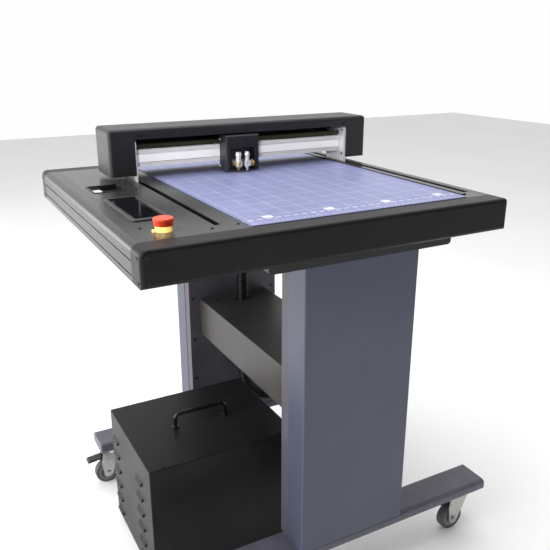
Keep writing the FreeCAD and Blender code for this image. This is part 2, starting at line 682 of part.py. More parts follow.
def clamp_screw():
    """The knurled thumb screw that pinches the right-hand tool."""
    x = CREASE_X + CREASE_HALF
    head = rod(5.5, (x + 3.4, TOOL_Y, SCREW_Z), (x + 11.4, TOOL_Y, SCREW_Z))
    head = head.makeChamfer(0.8, [e for e in head.Edges if e.BoundBox.XLength < 0.01])
    return head.fuse(rod(2.0, (x - 3.0, TOOL_Y, SCREW_Z), (x + 4, TOOL_Y, SCREW_Z)))


# ---------------------------------------------------------------- stand

def column_covers():
    """The painted outer skin of each column: a wide channel, open towards the middle."""
    covers = []
    for side in (-1, 1):
        outer = side * COLUMN_Y[1]
        seam = side * COLUMN_SEAM_Y
        y = (min(outer, seam), max(outer, seam))
        skin = block((MID_X - COLUMN_HALF, MID_X + COLUMN_HALF), y, COLUMN_Z)
        skin = rounded(skin, 4.0, lambda e: runs_along(e, "z") and at(e, y=outer))
        inner_y = (y[0] + 2, y[1] + 1) if side < 0 else (y[0] - 1, y[1] - 2)
        inside = block((MID_X - COLUMN_HALF + 2, MID_X + COLUMN_HALF - 2), inner_y, (0, 1000))
        covers.append(skin.cut(inside))
    return covers


def column_channels():
    """The structural channel that closes each column on its inner side."""
    channels = []
    for side in (-1, 1):
        inner = side * COLUMN_Y[0]
        seam = side * COLUMN_SEAM_Y
        y = (min(inner, seam), max(inner, seam))
        half = COLUMN_HALF - 1.0
        shape = block((MID_X - half, MID_X + half), y, COLUMN_Z)
        inner_y = (y[0] - 1, y[1] - 3) if side < 0 else (y[0] + 3, y[1] + 1)
        channels.append(shape.cut(block((MID_X - half + 3, MID_X + half - 3), inner_y, (0, 1000))))
    return channels


def table_brackets():
    """The folded tray under each end of the table, closed by the table above it."""
    brackets = []
    wall = 3.0
    for y in near_far(BRACKET_Y):
        z = (COLUMN_Z[1], TABLE_Z[0])
        x = (MID_X - BRACKET_HALF, MID_X + BRACKET_HALF)
        shape = block(x, y, z)
        shape = rounded(shape, 9.0, lambda e: runs_along(e, "y") and at(e, z=z[0]))
        inside = block((x[0] + wall, x[1] - wall), (y[0] + wall, y[1] - wall), (z[0] + wall, z[1] + 1))
        inside = rounded(inside, 6.0, lambda e: runs_along(e, "y") and at(e, z=z[0] + wall))
        brackets.append(shape.cut(inside))
    return brackets


def shelf():
    """The tray between the columns: a flat top with deep folded sides and a hose hole."""
    x = (MID_X - SHELF_HALF, MID_X + SHELF_HALF)
    y = (-COLUMN_Y[0], COLUMN_Y[0])
    shape = block(x, y, SHELF_Z)
    shape = rounded(shape, 3.0, lambda e: runs_along(e, "y") and at(e, z=SHELF_Z[1]))
    inside = block((x[0] + 2, x[1] - 2), (y[0] - 1, y[1] + 1), (SHELF_Z[0] - 1, SHELF_Z[1] - 2))
    shape = shape.cut(inside)
    return shape.cut(rod(HOSE_R + 5, (HOSE_X, HOSE_Y, SHELF_Z[1] - 3), (HOSE_X, HOSE_Y, SHELF_Z[1] + 1)))


def castor_places():
    reach = FOOT_HALF - CASTOR_INSET
    return {
        "front_left": (MID_X - reach, -CASTOR_Y),
        "front_right": (MID_X + reach, -CASTOR_Y),
        "back_left": (MID_X - reach, CASTOR_Y),
        "back_right": (MID_X + reach, CASTOR_Y),
    }


def feet():
    """The two floor beams: hollow sections with rounded edges and closed ends."""
    beams = []
    for y in near_far(FOOT_Y):
        x = (MID_X - FOOT_HALF, MID_X + FOOT_HALF)
        beam = block(x, y, FOOT_Z)
        beam = rounded(beam, FOOT_ROUND, lambda e: runs_along(e, "x"))
        ends = [e for e in beam.Edges if abs(e.BoundBox.XMin - x[0]) < 0.01 and e.BoundBox.XLength < 0.01]
        ends += [e for e in beam.Edges if abs(e.BoundBox.XMin - x[1]) < 0.01 and e.BoundBox.XLength < 0.01]
        beam = beam.makeChamfer(1.5, ends)
        hollow = block((x[0] + 4, x[1] - 4), (y[0] + 3, y[1] - 3), (FOOT_Z[0] + 3, FOOT_Z[1] - 3))
        hollow = rounded(hollow, FOOT_ROUND - 3, lambda e: runs_along(e, "x"))
        beam = beam.cut(hollow)
        for cx, cy in castor_places().values():
            if y[0] < cy < y[1]:
                boss = rod(14.0, (cx, cy, FOOT_Z[0] + 1), (cx, cy, FOOT_Z[0] + 20))
                beam = beam.fuse(boss)
                beam = beam.cut(rod(STEM_R + FIT_GAP, (cx, cy, FOOT_Z[0] - 1), (cx, cy, FOOT_Z[0] + 21)))
        beams.append(beam)
    return beams


def castor_fork(cx, cy, braked):
    """A swivel fork: a stem, a bearing head, two legs and the axle between them."""
    stem = rod(STEM_R, (cx, cy, STEM_Z[0]), (cx, cy, STEM_Z[1]))
    swivel = rod(SWIVEL_R, (cx, cy, FORK_TOP_Z[1] - 2), (cx, cy, FOOT_Z[0] - 0.5))
    parts = [stem, swivel]
    ax = cx - TRAIL
    top = FORK_TOP_Z[1]
    outline = [(cx - 40, top), (cx + 22, top), (ax + 12, 28), (ax + 5, 23),
               (ax - 6, 23), (ax - 12, 30), (cx - 46, 70)]
    for y0, y1 in about(cy, *LEG_Y):
        parts.append(prism(outline, "y", y0, y1))
    bridge = block((cx - 40, cx + 22), (cy - LEG_Y[1], cy + LEG_Y[1]), FORK_TOP_Z)
    axle = rod(AXLE_R, (ax, cy - 20, WHEEL_R), (ax, cy + 20, WHEEL_R))
    parts += [bridge, axle]
    if braked:
        pin_x = cx + PEDAL_PIN_X
        reach = LEG_Y[0] + 1
        radius = PEDAL_PIN_R - FIT_GAP
        parts.append(rod(radius, (pin_x, cy - reach, PEDAL_PIN_Z), (pin_x, cy + reach, PEDAL_PIN_Z)))
    return parts[0].multiFuse(parts[1:])


def castor_wheel(cx, cy):
    ax = cx - TRAIL
    tread = rod(WHEEL_R, (ax, cy - WHEEL_HALF, WHEEL_R), (ax, cy + WHEEL_HALF, WHEEL_R))
    tread = tread.makeFillet(4.0, [e for e in tread.Edges if e.BoundBox.YLength < 0.01])
    hub = rod(11.0, (ax, cy - 14.2, WHEEL_R), (ax, cy + 14.2, WHEEL_R))
    return tread.fuse(hub).cut(rod(AXLE_R + FIT_GAP, (ax, cy - 20, WHEEL_R), (ax, cy + 20, WHEEL_R)))


def castor_brake(cx, cy):
    """The foot pedal over the wheel, on a pin between the legs."""
    outline = [(cx - 31, 85), (cx - 31, 95), (cx - 46, 96), (cx - 84, 92),
               (cx - 88, 86), (cx - 84, 84), (cx - 50, 88), (cx - 40, 85)]
    pedal = prism(outline, "y", cy - 13, cy + 13)
    pin_x = cx + PEDAL_PIN_X
    return pedal.cut(rod(PEDAL_PIN_R, (pin_x, cy - 20, PEDAL_PIN_Z), (pin_x, cy + 20, PEDAL_PIN_Z)))


# ---------------------------------------------------------------- suction unit

def louvre(y, z):
    """One pressed louvre on the left side: a hooded slot that sheds downwards."""
    x = PUMP_X[0]
    outline = [(x + 0.5, z + 9), (x - 6, z - 4), (x - 5, z - 5), (x + 0.5, z - 5)]
    return prism(outline, "y", y - LOUVRE_LENGTH / 2, y + LOUVRE_LENGTH / 2)


def pump_housing():
    housing = block(PUMP_X, PUMP_Y, PUMP_Z)
    housing = rounded(housing, 3.0, lambda e: at(e, z=PUMP_Z[1]) or runs_along(e, "z"))
    rows = [LOUVRE_TOP_Z - i * LOUVRE_PITCH for i in range(LOUVRE_ROWS)]
    hoods = [louvre(y, z) for y in LOUVRE_COLUMNS for z in rows]
    housing = housing.multiFuse(hoods)
    spans = [(low + PUMP_WALL, high - PUMP_WALL) for low, high in (PUMP_X, PUMP_Y, PUMP_Z)]
    housing = housing.cut(block(*spans))
    for y in LOUVRE_COLUMNS:
        for z in rows:
            span = (y - LOUVRE_LENGTH / 2 + 2, y + LOUVRE_LENGTH / 2 - 2)
            housing = housing.cut(block((PUMP_X[0] - 4.0, PUMP_X[0] + 3), span, (z - 6, z - 1)))
    return housing.cut(rod(HOSE_R + 3, (PUMP_X[1] - 3, PORT_Y, PORT_Z), (PUMP_X[1] + 1, PORT_Y, PORT_Z)))


def pump_feet():
    inset = 30.0
    return [rod(14.0, (x, y, FLOOR), (x, y, PUMP_Z[0]))
            for x in (PUMP_X[0] + inset, PUMP_X[1] - inset) for y in (PUMP_Y[0] + inset, PUMP_Y[1] - inset)]


def pump_handle():
    """The bar handle on top: a bent rod on two round feet."""
    middle = (PUMP_X[0] + PUMP_X[1]) / 2
    y = -7.0
    z = PUMP_Z[1]
    half = 72.0
    rise = 38.0
    bend = 14.0
    corner = bend * math.sqrt(0.5)
    hip = z + rise - bend
    left = middle - half
    right = middle + half
    path = [
        Part.LineSegment(V(left, y, z + 2), V(left, y, hip)),
        Part.Arc(V(left, y, hip), V(left + bend - corner, y, hip + corner), V(left + bend, y, z + rise)),
        Part.LineSegment(V(left + bend, y, z + rise), V(right - bend, y, z + rise)),
        Part.Arc(V(right - bend, y, z + rise), V(right - bend + corner, y, hip + corner), V(right, y, hip)),
        Part.LineSegment(V(right, y, hip), V(right, y, z + 2)),
    ]
    wire = Part.Wire([segment.toShape() for segment in path])
    ring = Part.Wire(Part.makeCircle(5.0, V(left, y, z + 2), V(0, 0, 1)))
    bar = wire.makePipeShell([ring], True, False)
    bosses = [rod(9.0, (x, y, z), (x, y, z + 4)) for x in (left, right)]
    return bar.multiFuse(bosses)


def pump_blower():
    """The fan casing on the unit's floor with its motor above, and the duct to the hose."""
    x, y = BLOWER_XY
    low = PUMP_Z[0] + PUMP_WALL
    foot = rod(70.0, (x, y, low), (x, y, low + 118))
    casing = rod(105.0, (x, y, low + 118), (x, y, low + 178))
    hollow = rod(100.0, (x, y, low + 123), (x, y, low + 173))
    eye = rod(30.0, (x, y, low + 172), (x, y, low + 180))
    motor_shaft = rod(6.0, (x, y, low + 110), (x, y, low + 168))
    return foot.fuse(casing).cut(hollow).cut(eye).fuse(motor_shaft)


def pump_impeller():
    x, y = BLOWER_XY
    low = PUMP_Z[0] + PUMP_WALL + 128
    disc = rod(90.0, (x, y, low), (x, y, low + 3))
    hub = rod(14.0, (x, y, low), (x, y, low + 34))
    vanes = []
    for i in range(8):
        vane = block((x + 12, x + 88), (y - 1.5, y + 1.5), (low + 2, low + 30))
        vane.rotate(V(x, y, 0), V(0, 0, 1), i * 45.0)
        vanes.append(vane)
    return disc.multiFuse([hub] + vanes).cut(rod(6.0 + FIT_GAP, (x, y, low - 2), (x, y, low + 40)))


def hose_fittings():
    """The flanged sleeve under the table and the spigot on the suction unit."""
    z = TABLE_Z[0]
    top = rod(HOSE_R + 4, (HOSE_X, HOSE_Y, z - 26), (HOSE_X, HOSE_Y, z + 14))
    flange = rod(HOSE_R + 14, (HOSE_X, HOSE_Y, z - 4), (HOSE_X, HOSE_Y, z))
    top = top.fuse(flange).cut(rod(HOSE_R, (HOSE_X, HOSE_Y, z - 27), (HOSE_X, HOSE_Y, z + 15)))
    x = PUMP_X[1]
    low = rod(HOSE_R + 3, (x - 10, PORT_Y, PORT_Z), (x + 58, PORT_Y, PORT_Z))
    collar = rod(HOSE_R + 12, (x, PORT_Y, PORT_Z), (x + 4, PORT_Y, PORT_Z))
    low = low.fuse(collar).cut(rod(HOSE_R, (x - 11, PORT_Y, PORT_Z), (x + 59, PORT_Y, PORT_Z)))
    return top, low


def vacuum_hose():
    """The hose as one pipe along its route, each arc as large as its two runs allow."""
    points = [V(*p) for p in HOSE_ROUTE]
    pieces = []
    here = points[0]
    length = 0.0
    for before, corner, after in zip(points, points[1:], points[2:]):
        come = (corner - before).normalize()
        go = (after - corner).normalize()
        turn = come.getAngle(go)
        reach = 0.45 * min((corner - before).Length, (after - corner).Length)
        radius = reach / math.tan(turn / 2)
        start = corner - come * reach
        end = corner + go * reach
        inward = (go - come).normalize()
        centre = corner + inward * (radius / math.cos(turn / 2))
        middle = centre - inward * radius
        pieces.append(Part.LineSegment(here, start))
        pieces.append(Part.Arc(start, middle, end))
        length += (start - here).Length + radius * turn
        here = end
        print("hose arc radius", round(radius, 1))
    pieces.append(Part.LineSegment(here, points[-1]))
    length += (points[-1] - here).Length
    wire = Part.Wire([piece.toShape() for piece in pieces])
    ring = Part.Wire(Part.makeCircle(HOSE_R, points[0], points[1] - points[0]))
    hose = wire.makePipeShell([ring], True, False)
    section = math.pi * HOSE_R ** 2
    print("hose length", round(length, 1), "volume ratio", round(hose.Volume / (section * length), 4))
    return hose


# ---------------------------------------------------------------- write

save("left_rail", side_rail(True))
save("right_rail", side_rail(False))
save("front_end_cap", end_cap(True))
save("back_end_cap", back_cap_with_cutouts())
save("deck_plate", deck_plate())
save("vacuum_platen", vacuum_platen())
save("cutting_mat", cutting_mat())
save("bottom_pan", bottom_pan())
save("control_bezel", control_bezel())
save("touch_screen", touch_screen())
save("tool_tray", tool_tray())
save("estop_collar", estop_collar())
save("estop_stem", estop_stem())
save("estop_head", estop_head())
save("power_inlet", power_inlet())
save("power_switch", power_switch())
save("y_guide_rails", *y_guide_rails())
save("y_drive_shaft", y_shaft(Y_PULLEY_Y[1], -345.0, 345.0))
save("y_idler_shaft", y_shaft(Y_PULLEY_Y[0], -300.0, 345.0))
save("y_belts", *y_belts())
save("y_motor", y_motor())
save("control_board", control_board())
save("machine_screws", *machine_screws())

save("gantry_cover", gantry_cover())
save("gantry_beam", gantry_beam())
save("side_plates", *side_plates())
save("bearing_blocks", *bearing_blocks())
save("carriage_rail", carriage_rail())
save("x_motor", x_motor())
save("x_belt", loop_belt((MID_X - X_PULLEY_HALF, MID_X + X_PULLEY_HALF), X_BELT_Z, "z", X_PULLEY_Y))
save("x_drive_pulley", x_drive_pulley())
save("x_idler_pulley", x_idler_pulley())
save("gantry_screws", *gantry_screws())

save("carriage_block", carriage_block())
save("carriage_cover", carriage_cover())
save("knife_holder", knife_holder())
save("crease_holder", crease_holder())
save("clamp_screw", clamp_screw())

save("column_covers", *column_covers())
save("column_channels", *column_channels())
save("table_brackets", *table_brackets())
save("shelf", shelf())
save("feet", *feet())
for corner, (castor_x, castor_y) in castor_places().items():
    has_brake = corner.endswith("left")
    save("castor_fork_" + corner, castor_fork(castor_x, castor_y, has_brake))
    save("castor_wheel_" + corner, castor_wheel(castor_x, castor_y))
    if has_brake:
        save("castor_brake_" + corner, castor_brake(castor_x, castor_y))

save("pump_housing", pump_housing())
save("pump_feet", *pump_feet())
save("pump_handle", pump_handle())
save("pump_blower", pump_blower())
save("pump_impeller", pump_impeller())
save("hose_fittings", *hose_fittings())
save("vacuum_hose", vacuum_hose())
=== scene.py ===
# %% [markdown]
# # A flatbed vinyl cutter on its stand
# The cutter is a low table on two columns. A gantry carries a knife and a crease tool over a soft mat,
# and a suction unit on the floor holds the sheet down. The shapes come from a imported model, so this
# lesson is mostly about finishes: what each surface is made of, and how nodes can say so.
# Nodes are Blender's building blocks for materials: small boxes that pass numbers and colours along.

import math

import bpy
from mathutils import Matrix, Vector


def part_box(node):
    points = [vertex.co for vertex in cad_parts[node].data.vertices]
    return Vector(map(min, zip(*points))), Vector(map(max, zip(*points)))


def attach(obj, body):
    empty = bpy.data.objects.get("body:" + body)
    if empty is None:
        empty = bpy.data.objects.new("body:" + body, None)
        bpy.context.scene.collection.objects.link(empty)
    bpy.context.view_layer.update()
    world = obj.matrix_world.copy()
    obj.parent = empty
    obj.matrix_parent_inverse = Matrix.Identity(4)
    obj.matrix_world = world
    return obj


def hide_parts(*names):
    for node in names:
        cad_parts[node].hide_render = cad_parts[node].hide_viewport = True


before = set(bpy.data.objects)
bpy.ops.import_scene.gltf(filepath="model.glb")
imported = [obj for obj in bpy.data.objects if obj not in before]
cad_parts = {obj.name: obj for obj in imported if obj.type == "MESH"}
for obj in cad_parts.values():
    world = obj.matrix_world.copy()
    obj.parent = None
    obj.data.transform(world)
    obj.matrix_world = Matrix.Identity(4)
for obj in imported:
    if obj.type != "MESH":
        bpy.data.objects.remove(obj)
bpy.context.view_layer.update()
print("nodes in the frame:", len(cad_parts))

# %% [markdown]
# ## The camera
# The camera stands in front of the table's left corner, a little above the gantry, and looks down along
# the table. A lens of 44 mm on a 36 mm sensor is close to what the eye calls normal, so the near
# corner isn't stretched. Its aim is a direction, turned into a rotation by one call.

# %% Camera
CAMERA_AT = Vector((-0.8013, -1.5178, 1.3198))
CAMERA_AIM = Vector((0.4506, 0.8313, -0.3253))
LENS = 44.07

scene = bpy.context.scene
lens = bpy.data.cameras.new("front_left_view")
lens.lens = LENS
lens.sensor_width = 36.0
camera = bpy.data.objects.new("front_left_view", lens)
camera.location = CAMERA_AT
camera.rotation_mode = "QUATERNION"
camera.rotation_quaternion = CAMERA_AIM.to_track_quat("-Z", "Y")
scene.collection.objects.link(camera)
scene.camera = camera
print("camera", round((CAMERA_AT - Vector((0, 0, 0.6))).length, 2), "m from the middle of the cutter")

# %% [markdown]
# ## Two small helpers
# Colours are easier to pick as sRGB hex values, but Blender's sockets take linear light, so one function
# turns one into the other. The second helper adds a node, sets its values and joins it to what feeds it.
# A number as a key means the input's place, for nodes whose inputs share a name.

# %% Helpers for colours and nodes
MM = 0.001


def linear(hex_colour):
    """An sRGB hex colour as linear red, green, blue and alpha."""
    parts = [int(hex_colour[i:i + 2], 16) / 255 for i in (1, 3, 5)]
    return [c / 12.92 if c <= 0.04045 else ((c + 0.055) / 1.055) ** 2.4 for c in parts] + [1.0]


def add(tree, kind, settings=None, links=None):
    """One node with its settings, and what feeds each of its inputs."""
    node = tree.nodes.new("ShaderNode" + kind)
    for name, value in (settings or {}).items():
        if isinstance(name, int) or name in node.inputs:
            node.inputs[name].default_value = value
        else:
            setattr(node, name, value)
    for name, source in (links or {}).items():
        tree.links.new(source, node.inputs[name])
    return node


print("black paint in linear light:", [round(c, 4) for c in linear("#232325")])

# %% [markdown]
# ## One recipe for coated, moulded and rolled surfaces
# Most real surfaces share the same layers. Their colour drifts a little from patch to patch, a fine grain
# shows in the relief and in the gloss, and corners get a lighter colour: rubbed wear on most finishes, and a
# painted highlight on the hose's ribs and the emergency stop's head. The recipe takes each of these as a
# real size in millimetres, so a noise that repeats every 60 mm gets the scale 1 / 0.06. A Bevel node
# compares the true normal with a softened one, which finds the edges without changing any shape.

# %% The recipe
def surface(name, dark, light, patch, grain, relief, gloss, edge=None, edge_width=0.8, stretch=(1, 1, 1),
            **shader_values):
    """A material: two hex colours, patch and grain size and relief depth in mm, and a roughness range."""
    material = bpy.data.materials.new(name)
    material.use_nodes = True
    tree = material.node_tree
    shader = tree.nodes["Principled BSDF"]
    for socket, value in shader_values.items():
        shader.inputs[socket.replace("_", " ")].default_value = value
    place = add(tree, "TexCoord").outputs["Object"]
    place = add(tree, "Mapping", {"Scale": stretch}, {"Vector": place}).outputs["Vector"]
    drift = add(tree, "TexNoise", {"Scale": 1 / (patch * MM), "Detail": 4.0}, {"Vector": place})
    fine = add(tree, "TexNoise", {"Scale": 1 / (grain * MM), "Detail": 2.0}, {"Vector": place})
    spread = add(tree, "MapRange", {"From Min": 0.3, "From Max": 0.7}, {"Value": drift.outputs["Fac"]})
    colour = add(tree, "Mix", {"data_type": "RGBA", 6: linear(dark), 7: linear(light)},
                 {"Factor": spread.outputs["Result"]}).outputs[2]
    soft = add(tree, "Bevel", {"samples": 4, "Radius": edge_width * MM}).outputs["Normal"]
    if edge:
        true = add(tree, "NewGeometry").outputs["Normal"]
        bend = add(tree, "VectorMath", {"operation": "DOT_PRODUCT"}, {0: soft, 1: true}).outputs["Value"]
        # The lighter edge colour: rubbed wear on most finishes, a painted highlight on the hose's ribs and
        # the e-stop head.
        rub_and_glint = add(tree, "MapRange", {"From Min": 0.98, "From Max": 0.8, "To Max": 0.75}, {"Value": bend})
        patchy = add(tree, "Math", {"operation": "MULTIPLY"},
                     {0: rub_and_glint.outputs["Result"], 1: spread.outputs["Result"]})
        colour = add(tree, "Mix", {"data_type": "RGBA", 7: linear(edge)},
                     {"Factor": patchy.outputs["Value"], 6: colour}).outputs[2]
    both = add(tree, "Math", {"operation": "ADD"}, {0: drift.outputs["Fac"], 1: fine.outputs["Fac"]})
    shine = add(tree, "MapRange", {"From Min": 0.6, "From Max": 1.4, "To Min": gloss[0], "To Max": gloss[1]},
                {"Value": both.outputs["Value"]})
    bumps = add(tree, "Bump", {"Distance": relief * MM}, {"Height": fine.outputs["Fac"], "Normal": soft})
    tree.links.new(colour, shader.inputs["Base Color"])
    tree.links.new(shine.outputs["Result"], shader.inputs["Roughness"])
    tree.links.new(bumps.outputs["Normal"], shader.inputs["Normal"])
    return material


def paint(material, *names):
    """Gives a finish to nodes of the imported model."""
    for name in names:
        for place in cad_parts[name].material_slots:
            place.material = material
    print(material.name, "on", ", ".join(names))


# %% [markdown]
# ## Painted steel and aluminium: the caps and the deck
# A powder coat is baked on. It gives a fine orange-peel relief about 1.2 mm across and a soft gloss. The
# noise can be stretched along one axis for anything drawn through a die, so three stretches get names.

# %% Caps and deck
ALONG_X = (0.03, 1, 1)
ALONG_Y = (1, 0.03, 1)
ALONG_Z = (1, 1, 0.03)

# The end caps are steel with a near-black polyester coat, which stays black and gives soft, wide highlights.
cap_paint = surface("powder_coated_steel_black", "#131214", "#1a191b", 90, 1.2, 0.05, (0.34, 0.48),
                    edge="#3c3c3e", edge_width=1.2, Specular_IOR_Level=0.22)
paint(cap_paint, "front_end_cap", "back_end_cap")

# The deck is aluminium sheet in a smoother satin paint, which mirrors the room at a low angle.
deck_paint = surface("satin_painted_aluminium", "#28282a", "#313131", 140, 0.9, 0.02, (0.2, 0.3),
                     edge="#77787a", edge_width=0.6)
paint(deck_paint, "deck_plate")

# The side rails are extrusions in the same satin paint, with faint lines along their length.
rail_paint = surface("satin_painted_extrusion", "#2c2b2d", "#353436", 60, 0.9, 0.02, (0.24, 0.34),
                     edge="#4b4b4d", edge_width=0.9, stretch=ALONG_Y, Specular_IOR_Level=0.42)
paint(rail_paint, "left_rail", "right_rail")

# The pan and the brackets under the table are folded steel with a dark coat that nobody polishes.
pan_paint = surface("powder_coated_steel_dark", "#151516", "#1d1d1f", 120, 1.2, 0.04, (0.34, 0.46),
                    edge="#505052", Specular_IOR_Level=0.4)
paint(pan_paint, "bottom_pan", "table_brackets")

# %% [markdown]
# ## The stand's coats
# The stand is folded steel in greys of the same kind of coat. Shoes and castors have scuffed the lowest
# pieces, so their patches are smaller and their edges lighter.

# %% Stand
# The columns' outer skins have a blue-grey coat in two close tones that drift in patches about 160 mm across.
column_paint = surface("powder_coated_steel_slate", "#454a5b", "#4d5264", 160, 1.3, 0.05, (0.36, 0.48),
                       edge="#8b8d96", edge_width=1.0)
paint(column_paint, "column_covers")

# The channels behind them are a warmer and paler grey, and duller.
channel_paint = surface("powder_coated_steel_grey", "#4b4850", "#57545c", 120, 1.3, 0.05, (0.42, 0.55),
                        edge="#8a888c", edge_width=1.0)
paint(channel_paint, "column_channels")

# The shelf is a brownish grey. Its top looks dark and its side pale, because the light is from the left.
shelf_paint = surface("powder_coated_steel_warm", "#3a3735", "#434140", 90, 1.3, 0.06, (0.38, 0.56),
                      edge="#a3a09c", edge_width=1.4)
paint(shelf_paint, "shelf")

# The feet are scuffed, so their gloss changes within a hand's width.
foot_paint = surface("powder_coated_steel_scuffed", "#4f4f5c", "#61606c", 60, 1.3, 0.06, (0.34, 0.56),
                     edge="#9896a0", edge_width=1.4)
paint(foot_paint, "feet")

# The suction unit's case has a coarser texture coat that spreads highlights into a haze.
case_paint = surface("textured_powder_coat_charcoal", "#1b1a1c", "#242326", 110, 1.6, 0.09, (0.36, 0.5),
                     edge="#6a6a6c", edge_width=1.0, Specular_IOR_Level=0.2)
paint(case_paint, "pump_housing")

# %% [markdown]
# ## Bright metal on the gantry
# The cross beam and the side plates are aluminium. An extrusion leaves its die with faint lines along its
# length, so the noise is stretched in that direction. Anodising leaves the surface satin and pale.

# %% Gantry metal
# Anodised extrusion: a light grey that looks almost like paint, because the oxide layer scatters light.
beam_metal = surface("anodised_aluminium_bright", "#b6b5b6", "#bfbdbe", 60, 0.8, 0.02, (0.3, 0.42),
                     edge="#fafaf8", stretch=ALONG_X, Metallic=0.1)
paint(beam_metal, "gantry_beam")

# Milled plate: the cutter's path shows as upright streaks.
plate_metal = surface("milled_aluminium", "#c4c3c6", "#dddcde", 20, 0.8, 0.02, (0.3, 0.42),
                      edge="#f6f6f6", stretch=ALONG_Z, Metallic=0.4)
paint(plate_metal, "side_plates", "bearing_blocks", "carriage_block")

# Ground rail: the brightest strip on the beam, with hair-thin lines.
ground_steel = surface("ground_steel_rail", "#efedeb", "#f6f4f2", 40, 0.6, 0.01, (0.26, 0.36),
                       edge="#ffffff", stretch=ALONG_X, Metallic=0.35)
paint(ground_steel, "carriage_rail")

# %% [markdown]
# ## Steel that turns, rolls and holds
# Steel is a metal in the shader's sense, so Metallic is near 1 and the base colour is its reflection.

# %% Steel
# Guide rails under the deck: ground steel, darker with a film of oil.
guide_steel = surface("ground_steel_guides", "#9b9a99", "#b4b2b0", 16, 0.6, 0.01, (0.22, 0.34),
                      edge="#dddddd", stretch=ALONG_Y, Metallic=0.95)
paint(guide_steel, "y_guide_rails")

# Shafts and pulleys: turned steel, which throws a narrow line of light.
shaft_steel = surface("turned_steel", "#8f8e8c", "#aaa8a5", 12, 0.7, 0.01, (0.2, 0.34),
                      edge="#e0e0e0", stretch=ALONG_X, Metallic=1.0)
paint(shaft_steel, "y_drive_shaft", "y_idler_shaft", "x_drive_pulley", "x_idler_pulley", "estop_stem")

# Castor forks: zinc plate, with a warm and cool mottling a few millimetres across.
zinc = surface("zinc_plated_steel", "#a4a4a2", "#c2c1bc", 9, 0.8, 0.03, (0.26, 0.44), edge="#e8e8e4",
               Metallic=0.95)
paint(zinc, *[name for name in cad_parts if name.startswith("castor_fork")])

# Screws: black oxide, which is dark but still has a metal's glint.
black_oxide = surface("black_oxide_steel", "#1c1c1e", "#2b2a2c", 5, 0.8, 0.02, (0.28, 0.42), edge="#77777a",
                      edge_width=0.4, Metallic=0.6)
paint(black_oxide, "machine_screws", "gantry_screws")

# %% [markdown]
# ## Aluminium out of sight
# These two are seen only from odd angles, but they still get their own finish.

# %% Platen and blower
# The suction platen is hard anodised: dark grey, matt and slightly speckled.
hard_anodised = surface("hard_anodised_aluminium", "#3f3f42", "#4b4b4e", 50, 0.8, 0.02, (0.4, 0.55),
                        edge="#8d8d90", Metallic=0.6)
paint(hard_anodised, "vacuum_platen")

# The blower's volute is a die casting, with a skin of small dimples.
cast_metal = surface("die_cast_aluminium", "#7c7b79", "#908f8c", 25, 2.2, 0.15, (0.45, 0.62),
                     edge="#b9b8b4", Metallic=0.7)
paint(cast_metal, "pump_blower")

# %% [markdown]
# ## Black mouldings
# The covers are ABS from a mould with a fine spark-eroded texture, which breaks a highlight up into a soft
# bloom. Each piece has its own grain and depth of black, as pieces from different moulds have.

# %% Black mouldings
# Gantry cover: a charcoal black, the lightest of the black mouldings.
cover_plastic = surface("textured_abs_black", "#2a292b", "#313033", 70, 1.1, 0.06, (0.36, 0.48),
                        edge="#5a5a5c", edge_width=1.2, Specular_IOR_Level=0.4)
paint(cover_plastic, "gantry_cover")

# Carriage cover: the same plastic from another mould, a shade deeper.
carriage_plastic = surface("textured_abs_carriage", "#222124", "#2a292c", 40, 0.9, 0.05, (0.36, 0.48),
                           edge="#626264", edge_width=0.9)
paint(carriage_plastic, "carriage_cover")

# The screen's frame: smoother, with light rims where hands rub it.
bezel_plastic = surface("moulded_abs_bezel", "#2b2b2d", "#373738", 40, 0.9, 0.04, (0.3, 0.42), edge="#88898a")
paint(bezel_plastic, "control_bezel")

# Handle, fittings and mains parts: nylon, glossy enough to show lamps.
handle_plastic = surface("gloss_nylon_black", "#111113", "#1a1a1c", 40, 1.2, 0.02, (0.14, 0.26),
                         edge="#4d4d50")
paint(handle_plastic, "pump_handle", "hose_fittings", "power_inlet", "power_switch")

# Tool tray: a black moulding that looks like a hole in the deck.
tray_plastic = surface("moulded_abs_tray", "#161517", "#201f22", 30, 0.9, 0.03, (0.3, 0.42), edge="#6d6d70")
paint(tray_plastic, "tool_tray")

# Impeller: nylon with glass fibre, grey where the fibres reach the surface.
impeller_plastic = surface("glass_filled_nylon", "#1f1f20", "#2b2b2b", 15, 0.9, 0.05, (0.42, 0.56),
                           edge="#565656")
paint(impeller_plastic, "pump_impeller")

# %% [markdown]
# ## Coloured pieces
# A little light travels inside red nylon, so it gets a trace of subsurface scattering. Its edges glow from
# that light and from a paler red painted along them, which is a painted highlight.

# %% Emergency stop, pad and screen
# Emergency stop's head: a warm red with one soft highlight; the paler red on its edges is a painted glow.
button_red = surface("gloss_nylon_red", "#e93a10", "#f84e1c", 12, 1.4, 0.02, (0.2, 0.32), edge="#ff8a6a",
                     edge_width=0.7, Subsurface_Weight=0.05, Subsurface_Scale=0.003)
paint(button_red, "estop_head")

# Its collar: an egg-yolk yellow in two close tones that drift in patches.
collar_yellow = surface("gloss_nylon_yellow", "#eec56a", "#f5d080", 12, 1.4, 0.02, (0.24, 0.36),
                        edge="#fbe7a8", edge_width=0.7)
paint(collar_yellow, "estop_collar")

# The tray's pad: moulded foam, matt and full of small cells.
pad_foam = surface("moulded_foam_white", "#d6d4d2", "#eceae8", 9, 1.4, 0.2, (0.6, 0.8), edge="#f6f5f2")

# The screen: coated glass over a dark panel, flat and sharp in its reflections.
screen = surface("coated_glass_black", "#0a0b0e", "#101217", 60, 0.8, 0.003, (0.05, 0.12), IOR=1.52)
paint(screen, "touch_screen")

# %% [markdown]
# ## Rubber, and the pedals
# Rubber is duller than plastic and holds dust, so its light patches are greyer.

